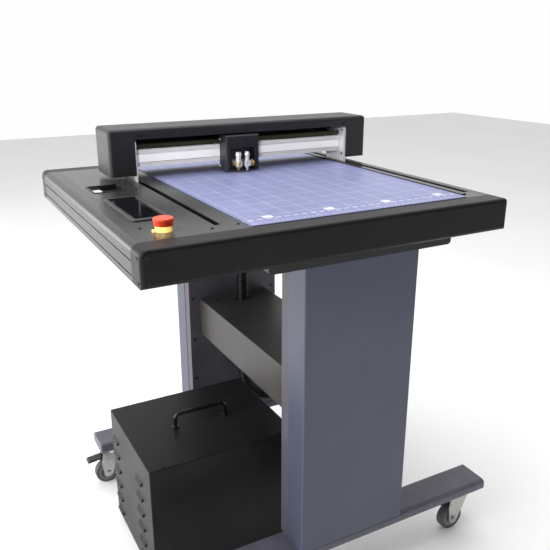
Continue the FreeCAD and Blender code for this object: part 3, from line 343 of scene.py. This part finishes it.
# %% Rubber
# Toothed belts: polyurethane in an olive brown, the only colour inside the gantry. There the olive is partly
# the belt's own colour and partly a painted reflection: it stands in for an olive glow above the beam.
olive_belt_and_reflection = surface("polyurethane_belt", "#4a4628", "#5a5432", 10, 1.0, 0.08, (0.5, 0.66), edge="#6b6846",
                      edge_width=0.4)
paint(olive_belt_and_reflection, "y_belts", "x_belt")

# Castor treads: grey rubber that leaves no marks on a floor.
tread_rubber = surface("moulded_rubber_grey", "#47474a", "#5a5a5c", 12, 1.1, 0.07, (0.55, 0.75),
                       edge="#8a8a8a")
paint(tread_rubber, *[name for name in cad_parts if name.startswith("castor_wheel")])

# The suction unit's feet: black rubber, almost without a highlight.
foot_rubber = surface("moulded_rubber_black", "#18181a", "#262628", 12, 1.1, 0.07, (0.6, 0.8),
                      edge="#4c4c4c")
paint(foot_rubber, "pump_feet")

# Brake pedals: painted steel, worn bright along the edge that shoes press.
pedal_paint = surface("painted_steel_pedal", "#1b1b1d", "#29292c", 14, 0.9, 0.05, (0.32, 0.5),
                      edge="#8c8c8c")
paint(pedal_paint, "castor_brake_front_left", "castor_brake_back_left")

# %% [markdown]
# ## Motors, board and turned fittings
# A motor's body is a stack of thin steel sheets, so its noise is squeezed along the stack.

# %% Motors, board and turned metal
# Motors: laminations under black paint, with a fine ribbing.
motor_paint = surface("black_painted_laminations", "#1a1a1c", "#262629", 20, 0.8, 0.1, (0.4, 0.6),
                      edge="#6e6e70", stretch=(0.2, 0.2, 4), Metallic=0.3)
paint(motor_paint, "x_motor", "y_motor")

# Control board: laminate under green solder mask, glossy in patches.
board = surface("solder_masked_laminate", "#17472c", "#1f5a37", 6, 0.9, 0.06, (0.22, 0.4), edge="#8f8a50",
                edge_width=0.4)
paint(board, "control_board")

# Tool holders: turned aluminium, almost white where it faces the light.
silver = surface("turned_aluminium_silver", "#d5d4d2", "#efeeec", 4, 0.6, 0.02, (0.2, 0.34), edge="#ffffff",
                 edge_width=0.4, stretch=(1, 1, 3), Metallic=0.8)
paint(silver, "knife_holder", "crease_holder")

# Clamp screw: turned brass, golden with brown shadows.
brass = surface("turned_brass", "#c29a4c", "#dcb76a", 4, 0.6, 0.02, (0.2, 0.34), edge="#f6dc9c",
                edge_width=0.4, stretch=(1, 1, 3), Metallic=0.9)
paint(brass, "clamp_screw")

# %% [markdown]
# ## The cutting mat
# The mat is soft PVC in blue-violet, about 1.5 mm thick, with a white printed grid. Printed ink is a
# colour, not a relief, so it belongs in the material. Each set of lines is a short sum: the distance to
# the nearest multiple of the spacing, compared with half a line's width. The real lines are 0.4 mm wide,
# which is finer than the render can show, so they are drawn 0.9 mm wide and paler.

# %% The print's sizes, in mm
LINE = 0.9
BOLD_LINE = LINE * 1.6
GRID = 10
BOLD_GRID = 50
PRINT_INSET = 16
TICK_OUT = 5
TICK_HALF = 3.5
STROKE_PITCH = 21
STROKE = 13
STROKE_UP = 22
STROKE_HALF = 1.6
SQUARE_PITCH = 150
SQUARE = 22
SQUARE_SHIFT = 45
SQUARE_UP = 36
SQUARE_HALF = 8
WORN_PATCH = 35

mat_low, mat_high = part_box("cutting_mat")
print("mat", round(mat_high.x - mat_low.x, 3), "by", round(mat_high.y - mat_low.y, 3), "m")

# %% [markdown]
# Each mark is a number from 0 to 1 at every point of the mat. A product of two marks keeps where both are,
# and a maximum keeps where either is.

# %% Marks
# Calendered PVC: a soft violet with a fine pebble that keeps reflections from forming a picture.
mat_vinyl = surface("calendered_pvc_violet", "#747aa6", "#8085b0", 120, 1.2, 0.05, (0.36, 0.5),
                    edge="#a9addf")
mat_tree = mat_vinyl.node_tree
mat_place = add(mat_tree, "TexCoord").outputs["Object"]
axes = add(mat_tree, "SeparateXYZ", links={"Vector": mat_place}).outputs


def lines(axis, spacing, width, start):
    """Lines every spacing mm along one axis, counted from start in metres."""
    from_edge = add(mat_tree, "Math", {"operation": "SUBTRACT", 1: start}, {0: axes[axis]})
    near = add(mat_tree, "Math", {"operation": "PINGPONG", 1: spacing * MM / 2}, {0: from_edge.outputs[0]})
    inked = add(mat_tree, "Math", {"operation": "LESS_THAN", 1: width * MM / 2}, {0: near.outputs[0]})
    return inked.outputs[0]


def band(axis, centre, half):
    """A strip across the mat, given in metres."""
    return add(mat_tree, "Math", {"operation": "COMPARE", 1: centre, 2: half}, {0: axes[axis]}).outputs[0]


def both(one, other, mode="MULTIPLY", scale=1.0):
    """Two marks joined, and made fainter by scale."""
    joined = add(mat_tree, "Math", {"operation": mode}, {0: one, 1: other}).outputs[0]
    return add(mat_tree, "Math", {"operation": "MULTIPLY", 1: scale}, {0: joined}).outputs[0]


print("nodes under the print:", len(mat_tree.nodes))

# %% [markdown]
# The grid stops short of the edges, where a ruler runs along the front and the left. Inside, near the
# front, come a broken stroke and a row of squares for lining up a sheet.

# %% Grid, ruler and guides
middle = (mat_low + mat_high) / 2
inset = PRINT_INSET * MM
half_x = (mat_high.x - mat_low.x) / 2 - inset
half_y = (mat_high.y - mat_low.y) / 2 - inset
left = mat_low.x + inset
front = mat_low.y + inset
inside = both(band("X", middle.x, half_x), band("Y", middle.y, half_y))
fine = both(lines("X", GRID, LINE, left), lines("Y", GRID, LINE, front), "MAXIMUM", 0.16)
coarse = both(lines("X", BOLD_GRID, BOLD_LINE, left), lines("Y", BOLD_GRID, BOLD_LINE, front),
              "MAXIMUM", 0.55)
grid = both(both(fine, coarse, "MAXIMUM"), inside)
ticks_front = both(lines("X", GRID, BOLD_LINE, left), band("Y", front - TICK_OUT * MM, TICK_HALF * MM))
ticks_left = both(lines("Y", GRID, BOLD_LINE, front), band("X", left - TICK_OUT * MM, TICK_HALF * MM))
ruler = both(ticks_front, ticks_left, "MAXIMUM", 0.8)
strokes = both(lines("X", STROKE_PITCH, STROKE, left),
               band("Y", front + STROKE_UP * MM, STROKE_HALF * MM))
squares = both(lines("X", SQUARE_PITCH, SQUARE, left + SQUARE_SHIFT * MM),
               band("Y", front + SQUARE_UP * MM, SQUARE_HALF * MM))
guides = both(strokes, squares, "MAXIMUM", 0.9)
print("nodes after the marks:", len(mat_tree.nodes))

# %% [markdown]
# Wear comes last: a noise lets the ink fade in patches. The mix then goes between the recipe's colour and
# the shader.

# %% Ink
total = both(both(grid, ruler, "MAXIMUM"), guides, "MAXIMUM")
worn = add(mat_tree, "TexNoise", {"Scale": 1 / (WORN_PATCH * MM), "Detail": 3.0}, {"Vector": mat_place})
kept = add(mat_tree, "MapRange", {"From Min": 0.3, "From Max": 0.6, "To Min": 0.5},
           {"Value": worn.outputs["Fac"]})
amount = both(total, kept.outputs["Result"])
mat_colour = mat_tree.nodes["Principled BSDF"].inputs["Base Color"]
printed = add(mat_tree, "Mix", {"data_type": "RGBA", 7: linear("#f4f4ff")},
              {"Factor": amount, 6: mat_colour.links[0].from_socket})
mat_tree.links.new(printed.outputs[2], mat_colour)
paint(mat_vinyl, "cutting_mat")

# %% [markdown]
# ## The suction hose
# The hose is black corrugated polyethylene, 36 mm across, from the sleeve under the table to the suction
# unit. Its centreline is one smooth NURBS curve through a listed route. Blender can turn a curve
# with no bevel into a row of points, and rings placed on that row become the skin. The ring radius rises
# and falls with the distance walked, which makes the ribs real shapes.

# %% Hose route
HOSE_ROUTE = [
    (0.0375, 0.239, 0.905),
    (0.0375, 0.239, 0.465),
    (0.0375, 0.239, 0.225),
    (0.2775, 0.239, 0.205),
    (0.2775, -0.002, 0.185),
    (0.0275, -0.002, 0.185),
]
ROUTE_STEPS = 300


def route_points(name, route, steps):
    """The points of a smooth curve along a route, read from the curve itself."""
    line = bpy.data.curves.new(name, "CURVE")
    line.dimensions = "3D"
    line.resolution_u = steps
    spline = line.splines.new("NURBS")
    spline.points.add(len(route) - 1)
    for point, place in zip(spline.points, route):
        point.co = (*place, 1.0)
    spline.order_u = 3
    spline.use_endpoint_u = True
    holder = bpy.data.objects.new(name, line)
    mesh = bpy.data.meshes.new_from_object(holder)
    points = [vertex.co.copy() for vertex in mesh.vertices]
    bpy.data.objects.remove(holder)
    return points


hose_line = route_points("hose_line", HOSE_ROUTE, ROUTE_STEPS)

# %% [markdown]
# ## Turning rings into a skin
# A helper joins rings of points into a mesh of quads, closed at both ends when asked. The same helper
# serves anything turned on a lathe, where the rings share one axis, so the next parts reuse it.

# %% Skin helpers
def skin(name, rings, close=True, sharp=35):
    """A mesh through rings that all have the same number of points."""
    count = len(rings[0])
    points = [point for ring in rings for point in ring]
    faces = []
    for r in range(len(rings) - 1):
        for i in range(count):
            j = (i + 1) % count
            faces.append((r * count + i, r * count + j, (r + 1) * count + j, (r + 1) * count + i))
    if close:
        faces.append(tuple(reversed(range(count))))
        faces.append(tuple(range((len(rings) - 1) * count, len(rings) * count)))
    mesh = bpy.data.meshes.new(name)
    mesh.from_pydata([tuple(p) for p in points], [], faces)
    mesh.shade_smooth()
    mesh.set_sharp_from_angle(angle=math.radians(sharp))
    piece = bpy.data.objects.new(name, mesh)
    scene.collection.objects.link(piece)
    return piece


def finish_piece(piece, material, body):
    """Gives a new piece its finish and the body that carries it."""
    piece.data.materials.append(material)
    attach(piece, body)
    return piece


# %% The hose
HOSE_RADIUS = 0.018
RIB_PITCH = 0.0085
RIB_DEPTH = 0.0022
RIB_ROUNDNESS = 0.6
HOSE_SIDES = 24
SLEEVE_GAP = 0.0003


def ribbed_rings(points):
    """Rings along the line, whose radius follows the ribs."""
    rings = []
    walked = 0.0
    across = Vector((0, 1, 0))
    for index, point in enumerate(points):
        ahead = points[min(index + 1, len(points) - 1)] - points[max(index - 1, 0)]
        way = ahead.normalized()
        across = (across - way * across.dot(way)).normalized()
        other = way.cross(across)
        wave = 0.5 + 0.5 * math.cos(2 * math.pi * walked / RIB_PITCH)
        radius = HOSE_RADIUS - SLEEVE_GAP - RIB_DEPTH * (1 - wave ** RIB_ROUNDNESS)
        turns = [2 * math.pi * k / HOSE_SIDES for k in range(HOSE_SIDES)]
        rings.append([point + across * radius * math.cos(t) + other * radius * math.sin(t) for t in turns])
        if index + 1 < len(points):
            walked += (points[index + 1] - point).length
    return rings


# Blow-moulded polyethylene: black and waxy. The thin broken line of light along the ribs is partly a real
# reflection and partly a painted highlight: the lighter edge colour on the rib crests.
hose_plastic = surface("corrugated_polyethylene", "#0d0c0d", "#161516", 25, 0.9, 0.03, (0.34, 0.5),
                       edge="#3b3b3e", Specular_IOR_Level=0.25)
hose = skin("suction_hose", ribbed_rings(hose_line), sharp=80)
finish_piece(hose, hose_plastic, "frame")
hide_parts("vacuum_hose")

# %% [markdown]
# ## Parts turned on a lathe
# Tool sleeves, hub caps and clamp bands are all profiles spun round an axis. The profile is a list of
# (distance along the axis, radius) pairs in millimetres. Raising every other point round the ring a little
# makes the straight knurling that fingers grip.

# %% Lathe
LEAST_RADIUS = 0.02
STEEP = 0.9


def turned(name, profile, origin, axis, sides=48, knurl=None, sharp=35, close=True):
    """A piece spun round an axis. knurl is (from, to, depth) in mm along the axis."""
    way = Vector(axis).normalized()
    across = Vector((0, 0, 1)) if abs(way.z) < STEEP else Vector((1, 0, 0))
    across = (across - way * across.dot(way)).normalized()
    other = way.cross(across)
    rings = []
    for along, radius in profile:
        ring = []
        for k in range(sides):
            cut = knurl[2] if knurl and knurl[0] <= along <= knurl[1] and k % 2 else 0.0
            size = max(radius - cut, LEAST_RADIUS) * MM
            turn = 2 * math.pi * k / sides
            out = across * math.cos(turn) + other * math.sin(turn)
            ring.append(Vector(origin) + way * along * MM + out * size)
        rings.append(ring)
    return skin(name, rings, sharp=sharp, close=close)


knife_low, knife_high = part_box("knife_holder")
crease_low, crease_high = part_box("crease_holder")
screw_low, screw_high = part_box("clamp_screw")
TOOL_Y = (screw_low.y + screw_high.y) / 2
TOOL_FOOT = knife_low.z
knife_foot = ((knife_low.x + knife_high.x) / 2, TOOL_Y, TOOL_FOOT)
crease_foot = ((crease_low.x + crease_high.x) / 2, TOOL_Y, TOOL_FOOT)
print("knife axis at x", round(knife_foot[0], 4), "and crease axis at x", round(crease_foot[0], 4))

# %% [markdown]
# ## The two tools
# The knife is held by its brass lower half: a cone that sets the blade's depth and a knurled band at the
# clamp. A silver sleeve with a cap stands above it. The crease tool is slimmer and silver all the way.

# %% Tool sleeves
SLEEVES = [
    ("knife_brass_nose", knife_foot, brass, "knife", "brass", None,
     [(1.5, 1.7), (2.5, 2.6), (9.5, 5.7), (10, 7.1), (10.6, 7.5), (13.2, 7.5)]),
    ("knife_brass_band", knife_foot, brass, "knife", "brass", (17.6, 25.4, 0.35),
     [(17, 8.9), (17.6, 9.4), (25.4, 9.4), (26, 8.9)]),
    ("knife_silver_sleeve", knife_foot, silver, "knife", "steel_zinc", (41.4, 46.6, 0.3),
     [(28.4, 7.3), (40.4, 7.4), (40.8, 8.5), (41.4, 8.8), (46.6, 8.8), (47.2, 8.4), (47.4, 7.3), (50.6, 7.3),
      (51.4, 6.6), (52, 5.2)]),
    ("crease_silver_sleeve", crease_foot, silver, "crease", "steel_zinc", (41.4, 46.6, 0.3),
     [(28.4, 6.3), (40.4, 6.4), (40.8, 7.5), (41.4, 7.8), (46.6, 7.8), (47.2, 7.4), (47.4, 6.3), (50.6, 6.3),
      (51.4, 5.6), (52, 4.4)]),
    ("crease_silver_nose", crease_foot, silver, "crease", "steel_zinc", None,
     [(1.5, 2.3), (2.2, 2.8), (8.5, 3.0), (9.2, 4.4), (10, 6.2), (13.2, 6.2)]),
]
for name, foot, finish, body, slot, knurl, profile in SLEEVES:
    sleeve = turned(name, profile, foot, (0, 0, 1), sides=56, knurl=knurl)
    finish_piece(sleeve, finish, body)

CLAMP_MIDDLE = (screw_low.z + screw_high.z) / 2
KNOB = [(0, 2.4), (1, 2.4), (1.2, 3.8), (1.7, 4.3), (5.4, 4.3), (5.9, 3.8)]
knob = turned("knife_clamp_knob", KNOB, (knife_low.x, TOOL_Y, CLAMP_MIDDLE), (-1, 0, 0), sides=40,
              knurl=(1.7, 5.4, 0.3))
finish_piece(knob, brass, "knife")
print("tool pieces:", len(SLEEVES) + 1)

# %% [markdown]
# ## Screws on the carriage's side
# Two bright screws hold the carriage's cover to its bearing block. A socket-headed screw is a short
# cylinder with a rounded rim and a hexagon sunk in its face, drawn here as a deep cone in the profile.

# %% Carriage screws
cover_low, cover_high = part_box("carriage_cover")
SCREW_BACK = 0.0035
SCREW_HEIGHTS = (0.009, 0.082)
SOCKET_HEAD = [(-0.5, 2.6), (1.6, 2.6), (2.1, 2.2), (2.2, 1.3), (1.0, 0.9), (1.0, 0.1)]
for index, height in enumerate(SCREW_HEIGHTS):
    place = (cover_low.x, cover_high.y - SCREW_BACK, cover_low.z + height)
    screw = turned("carriage_screw_%d" % (index + 1), SOCKET_HEAD, place, (-1, 0, 0), sides=36)
    finish_piece(screw, silver, "carriage")
print("carriage screws:", len(SCREW_HEIGHTS))

# %% [markdown]
# ## The clamp screw's wings
# A wing screw pinches the crease tool. Each wing is a flat ear that leans outwards from the head. An
# outline pushed to a thickness, with its edges bevelled, gives the pressed-metal look.

# %% Plates with bevelled edges
def plate(name, outline, thickness, origin, along, up, bevel=0.4):
    """A flat outline in mm, pushed to a thickness, standing on two directions."""
    along = Vector(along).normalized()
    up = Vector(up).normalized()
    side = along.cross(up)
    rings = []
    for offset in (-thickness / 2, thickness / 2):
        rings.append([Vector(origin) + (along * a + up * b + side * offset) * MM for a, b in outline])
    piece = skin(name, rings, sharp=30)
    rim = piece.modifiers.new("rim", "BEVEL")
    rim.width = bevel * MM
    rim.segments = 3
    rim.limit_method = "ANGLE"
    return piece


print("plates are ready")

# %% [markdown]
# The wing's outline is drawn once. One wing leans forward and up, the other backward and down.

# %% Wings, in mm
WING_ROOT = [(1.4, 0.5), (7.4, 0.5)]
TIP_MIDDLE = (4.6, 5.9)
TIP_RADII = (3.4, 3.0)
TIP_DEGREES = range(-20, 201, 20)
WING_THICK = 2.2
WING_LEAN = 0.5
WING_BACK = 8.5


def ear():
    """The outline of a wing: straight at its root and round at its tip."""
    tip = []
    for turn in [math.radians(degrees) for degrees in TIP_DEGREES]:
        along = TIP_MIDDLE[0] + TIP_RADII[0] * math.cos(turn)
        up = TIP_MIDDLE[1] + TIP_RADII[1] * math.sin(turn)
        tip.append((along, up))
    return WING_ROOT + tip


screw_at = (screw_high.x - WING_BACK * MM, TOOL_Y, CLAMP_MIDDLE)
for index, side in enumerate((1, -1)):
    wing = plate("clamp_screw_wing_%d" % (index + 1), ear(), WING_THICK, screw_at, (1, 0, 0),
                 (0, side * WING_LEAN, side))
    finish_piece(wing, brass, "clamp_screw")
print("wings on the clamp screw: 2")

# %% [markdown]
# ## Hubs, bands and other small fittings
# Each castor wheel gets a bearing cap and a nut on its axle, because a bare disc looks unfinished. The
# hose is held on both sleeves by a worm-drive band: a thin steel strip with a screw housing.

# %% Castor hubs
HUB_CAP = [(12.0, 27.5), (12.35, 27.2), (12.5, 24.5), (12.15, 23.8), (12.1, 13), (12.9, 12.4), (13.3, 11.2)]
AXLE_NUT = [(18.1, 7.0), (18.4, 7.6), (21.3, 7.6), (21.9, 6.8), (22, 4.2), (23.4, 4.1), (23.8, 3.6)]
for corner in ("front_left", "front_right", "back_left", "back_right"):
    low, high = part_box("castor_wheel_" + corner)
    middle = (low + high) / 2
    for side, name in ((-1, "near"), (1, "far")):
        cap = turned("castor_hub_%s_%s" % (corner, name), HUB_CAP, middle, (0, side, 0), sides=64)
        finish_piece(cap, cast_metal, "castor_wheel_" + corner)
        nut = turned("castor_nut_%s_%s" % (corner, name), AXLE_NUT, middle, (0, side, 0), sides=6, sharp=20)
        finish_piece(nut, zinc, "castor_fork_" + corner)
print("castor hubs and nuts: 16")

# %% [markdown]
# The band is an open sleeve of thin strip, so its rings are left open at both ends. Its screw lies across
# the hose, on the side given by the last direction.

# %% Hose bands
BAND_HALF = 4.5
BAND_GAP = 0.1
BAND_THICK = 0.8
HOUSING_OUT = 3.6
BAND_SCREW = [(-7, 2.6), (-6.4, 3.2), (4, 3.2), (4.2, 2.2), (5, 2.2), (5.2, 3.6), (8, 3.6), (8.3, 3.2)]
BANDS = [("top", Vector((HOSE_ROUTE[0][0], HOSE_ROUTE[0][1], 0.893)), (0, 0, 1), 22.0, (0, -1, 0)),
         ("unit", Vector((0.033, -0.002, 0.185)), (1, 0, 0), 21.0, (0, 0, 1))]
for name, centre, axis, radius, out in BANDS:
    inner = radius + BAND_GAP
    outer = inner + BAND_THICK
    strip = [(-BAND_HALF, inner), (-BAND_HALF, outer), (BAND_HALF, outer), (BAND_HALF, inner)]
    band = turned("hose_band_" + name, strip, centre, axis, sides=72, close=False)
    finish_piece(band, zinc, "frame")
    along = Vector(axis).cross(Vector(out))
    seat = centre + Vector(out) * (radius + HOUSING_OUT) * MM
    housing = turned("hose_band_screw_" + name, BAND_SCREW, seat, along, sides=20, sharp=30)
    finish_piece(housing, zinc, "frame")
print("hose bands:", len(BANDS))

# %% [markdown]
# ## A pad in the tool tray
# A pale foam pad lies in the far left corner of the tray and keeps blade tips from the plastic. It is a
# rounded slab: an outline with arcs at its corners, bevelled along both faces.

# %% Tray pad
PAD_WIDTH = 31.0
PAD_LENGTH = 46.0
PAD_THICK = 3.5
PAD_CORNER = 3.0
PAD_RIM = 0.8
TRAY_WALL = 4.6
TRAY_FLOOR = 12.5


def rounded_rectangle(width, length, radius, steps=5):
    """The outline of a rectangle from its corner at the origin, with an arc at each corner."""
    outline = []
    for cx, cy, first in ((width - radius, radius, -90), (width - radius, length - radius, 0),
                          (radius, length - radius, 90), (radius, radius, 180)):
        for step in range(steps + 1):
            turn = math.radians(first + 90 * step / steps)
            outline.append((cx + radius * math.cos(turn), cy + radius * math.sin(turn)))
    return outline


tray_low, tray_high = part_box("tool_tray")
deck_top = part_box("cutting_mat")[0].z
pad_corner = (tray_low.x + TRAY_WALL * MM, tray_high.y - (TRAY_WALL + PAD_LENGTH) * MM,
              deck_top - (TRAY_FLOOR - PAD_THICK / 2) * MM)
pad = plate("tray_foam_pad", rounded_rectangle(PAD_WIDTH, PAD_LENGTH, PAD_CORNER), PAD_THICK, pad_corner,
            (1, 0, 0), (0, 1, 0), bevel=PAD_RIM)
finish_piece(pad, pad_foam, "frame")
print("pad", PAD_WIDTH, "by", PAD_LENGTH, "mm")

# %% [markdown]
# ## The room
# The cutter stands on a plain pale floor, in a pale room. The side behind the camera is darker, so the
# black fronts stay black while the deck mirrors the bright wall behind it. The world's colour depends
# only on direction, so a ramp over the view vector's Y is enough.

# %% Floor and world
FLOOR_HALF = 9.0
corners = [(-FLOOR_HALF, -FLOOR_HALF, 0), (FLOOR_HALF, -FLOOR_HALF, 0), (FLOOR_HALF, FLOOR_HALF, 0),
           (-FLOOR_HALF, FLOOR_HALF, 0)]
floor_mesh = bpy.data.meshes.new("studio_floor")
floor_mesh.from_pydata(corners, [], [(0, 1, 2, 3)])
floor = bpy.data.objects.new("studio_floor", floor_mesh)
scene.collection.objects.link(floor)
# Painted studio floor: matt and nearly white, so it shows only soft contact shadows.
floor_mesh.materials.append(surface("matt_studio_floor", "#f8f8f8", "#fcfcfc", 900, 3, 0.01, (0.7, 0.8)))

world = bpy.data.worlds.new("pale_room")
world.use_nodes = True
scene.world = world
sky = world.node_tree
way = add(sky, "TexCoord").outputs["Generated"]
across = add(sky, "SeparateXYZ", links={"Vector": way}).outputs
behind = add(sky, "MapRange", {"From Min": -0.7, "From Max": 0.3, "To Min": 0.2, "To Max": 1.0},
             {"Value": across["Y"]})
sky.nodes["Background"].inputs["Color"].default_value = linear("#fefeff")
sky.links.new(behind.outputs["Result"], sky.nodes["Background"].inputs["Strength"])
scene.view_settings.view_transform = "Standard"
print("floor", 2 * FLOOR_HALF, "m across")

# %% [markdown]
# ## Lamps
# Three large soft panels stand at the left, behind on the left, and above. Two more light only the
# objects in their own collection, like masked studio lamps: one lifts the bright metal with the yellow collar
# in the gantry's shade, and one keeps the floor white.

# %% Lamps
def lamp(name, place, target, size, power):
    """A rectangular soft panel that looks at a point. Power is in watts."""
    light = bpy.data.lights.new(name, "AREA")
    light.shape = "RECTANGLE"
    light.size, light.size_y = size
    light.energy = power
    panel = bpy.data.objects.new(name, light)
    panel.location = place
    panel.rotation_mode = "QUATERNION"
    panel.rotation_quaternion = (Vector(target) - Vector(place)).to_track_quat("-Z", "Y")
    scene.collection.objects.link(panel)
    return panel


def light_only(panel, name, pieces):
    """Lets a lamp light nothing but some pieces."""
    receivers = bpy.data.collections.new(name)
    for piece in pieces:
        receivers.objects.link(piece)
    panel.light_linking.receiver_collection = receivers


lamp("left_panel", (-3.2, -0.4, 1.9), (0, 0, 0.8), (2.4, 2.4), 90)
lamp("left_back_panel", (-2.9, 3.2, 0.7), (0, 0, 0.8), (3.2, 1.3), 38)
lamp("top_panel", (-0.4, 0.3, 3.4), (0, 0, 0.9), (2.6, 2.6), 60)

# %% Lamps for chosen pieces
front_fill = lamp("front_fill", (-1.3, -2.0, 1.75), (0, 0.2, 1.03), (0.5, 0.3), 8)
front_fill.data.spread = math.radians(60)
BRIGHT = (beam_metal, plate_metal, ground_steel, silver, brass, collar_yellow)
meshes = [piece for piece in scene.objects if piece.type == "MESH"]
shaded = [piece for piece in meshes if any(place.material in BRIGHT for place in piece.material_slots)]
light_only(front_fill, "bright_metal", shaded)
floor_wash = lamp("floor_wash", (0.0, 0.6, 4.2), (0, 0.6, 0), (7.0, 7.0), 40)
light_only(floor_wash, "only_floor", [floor])

# %% [markdown]
# ## The end
# The visual model has to stay in the imported model's box.

# %% Finish
print("scene built")
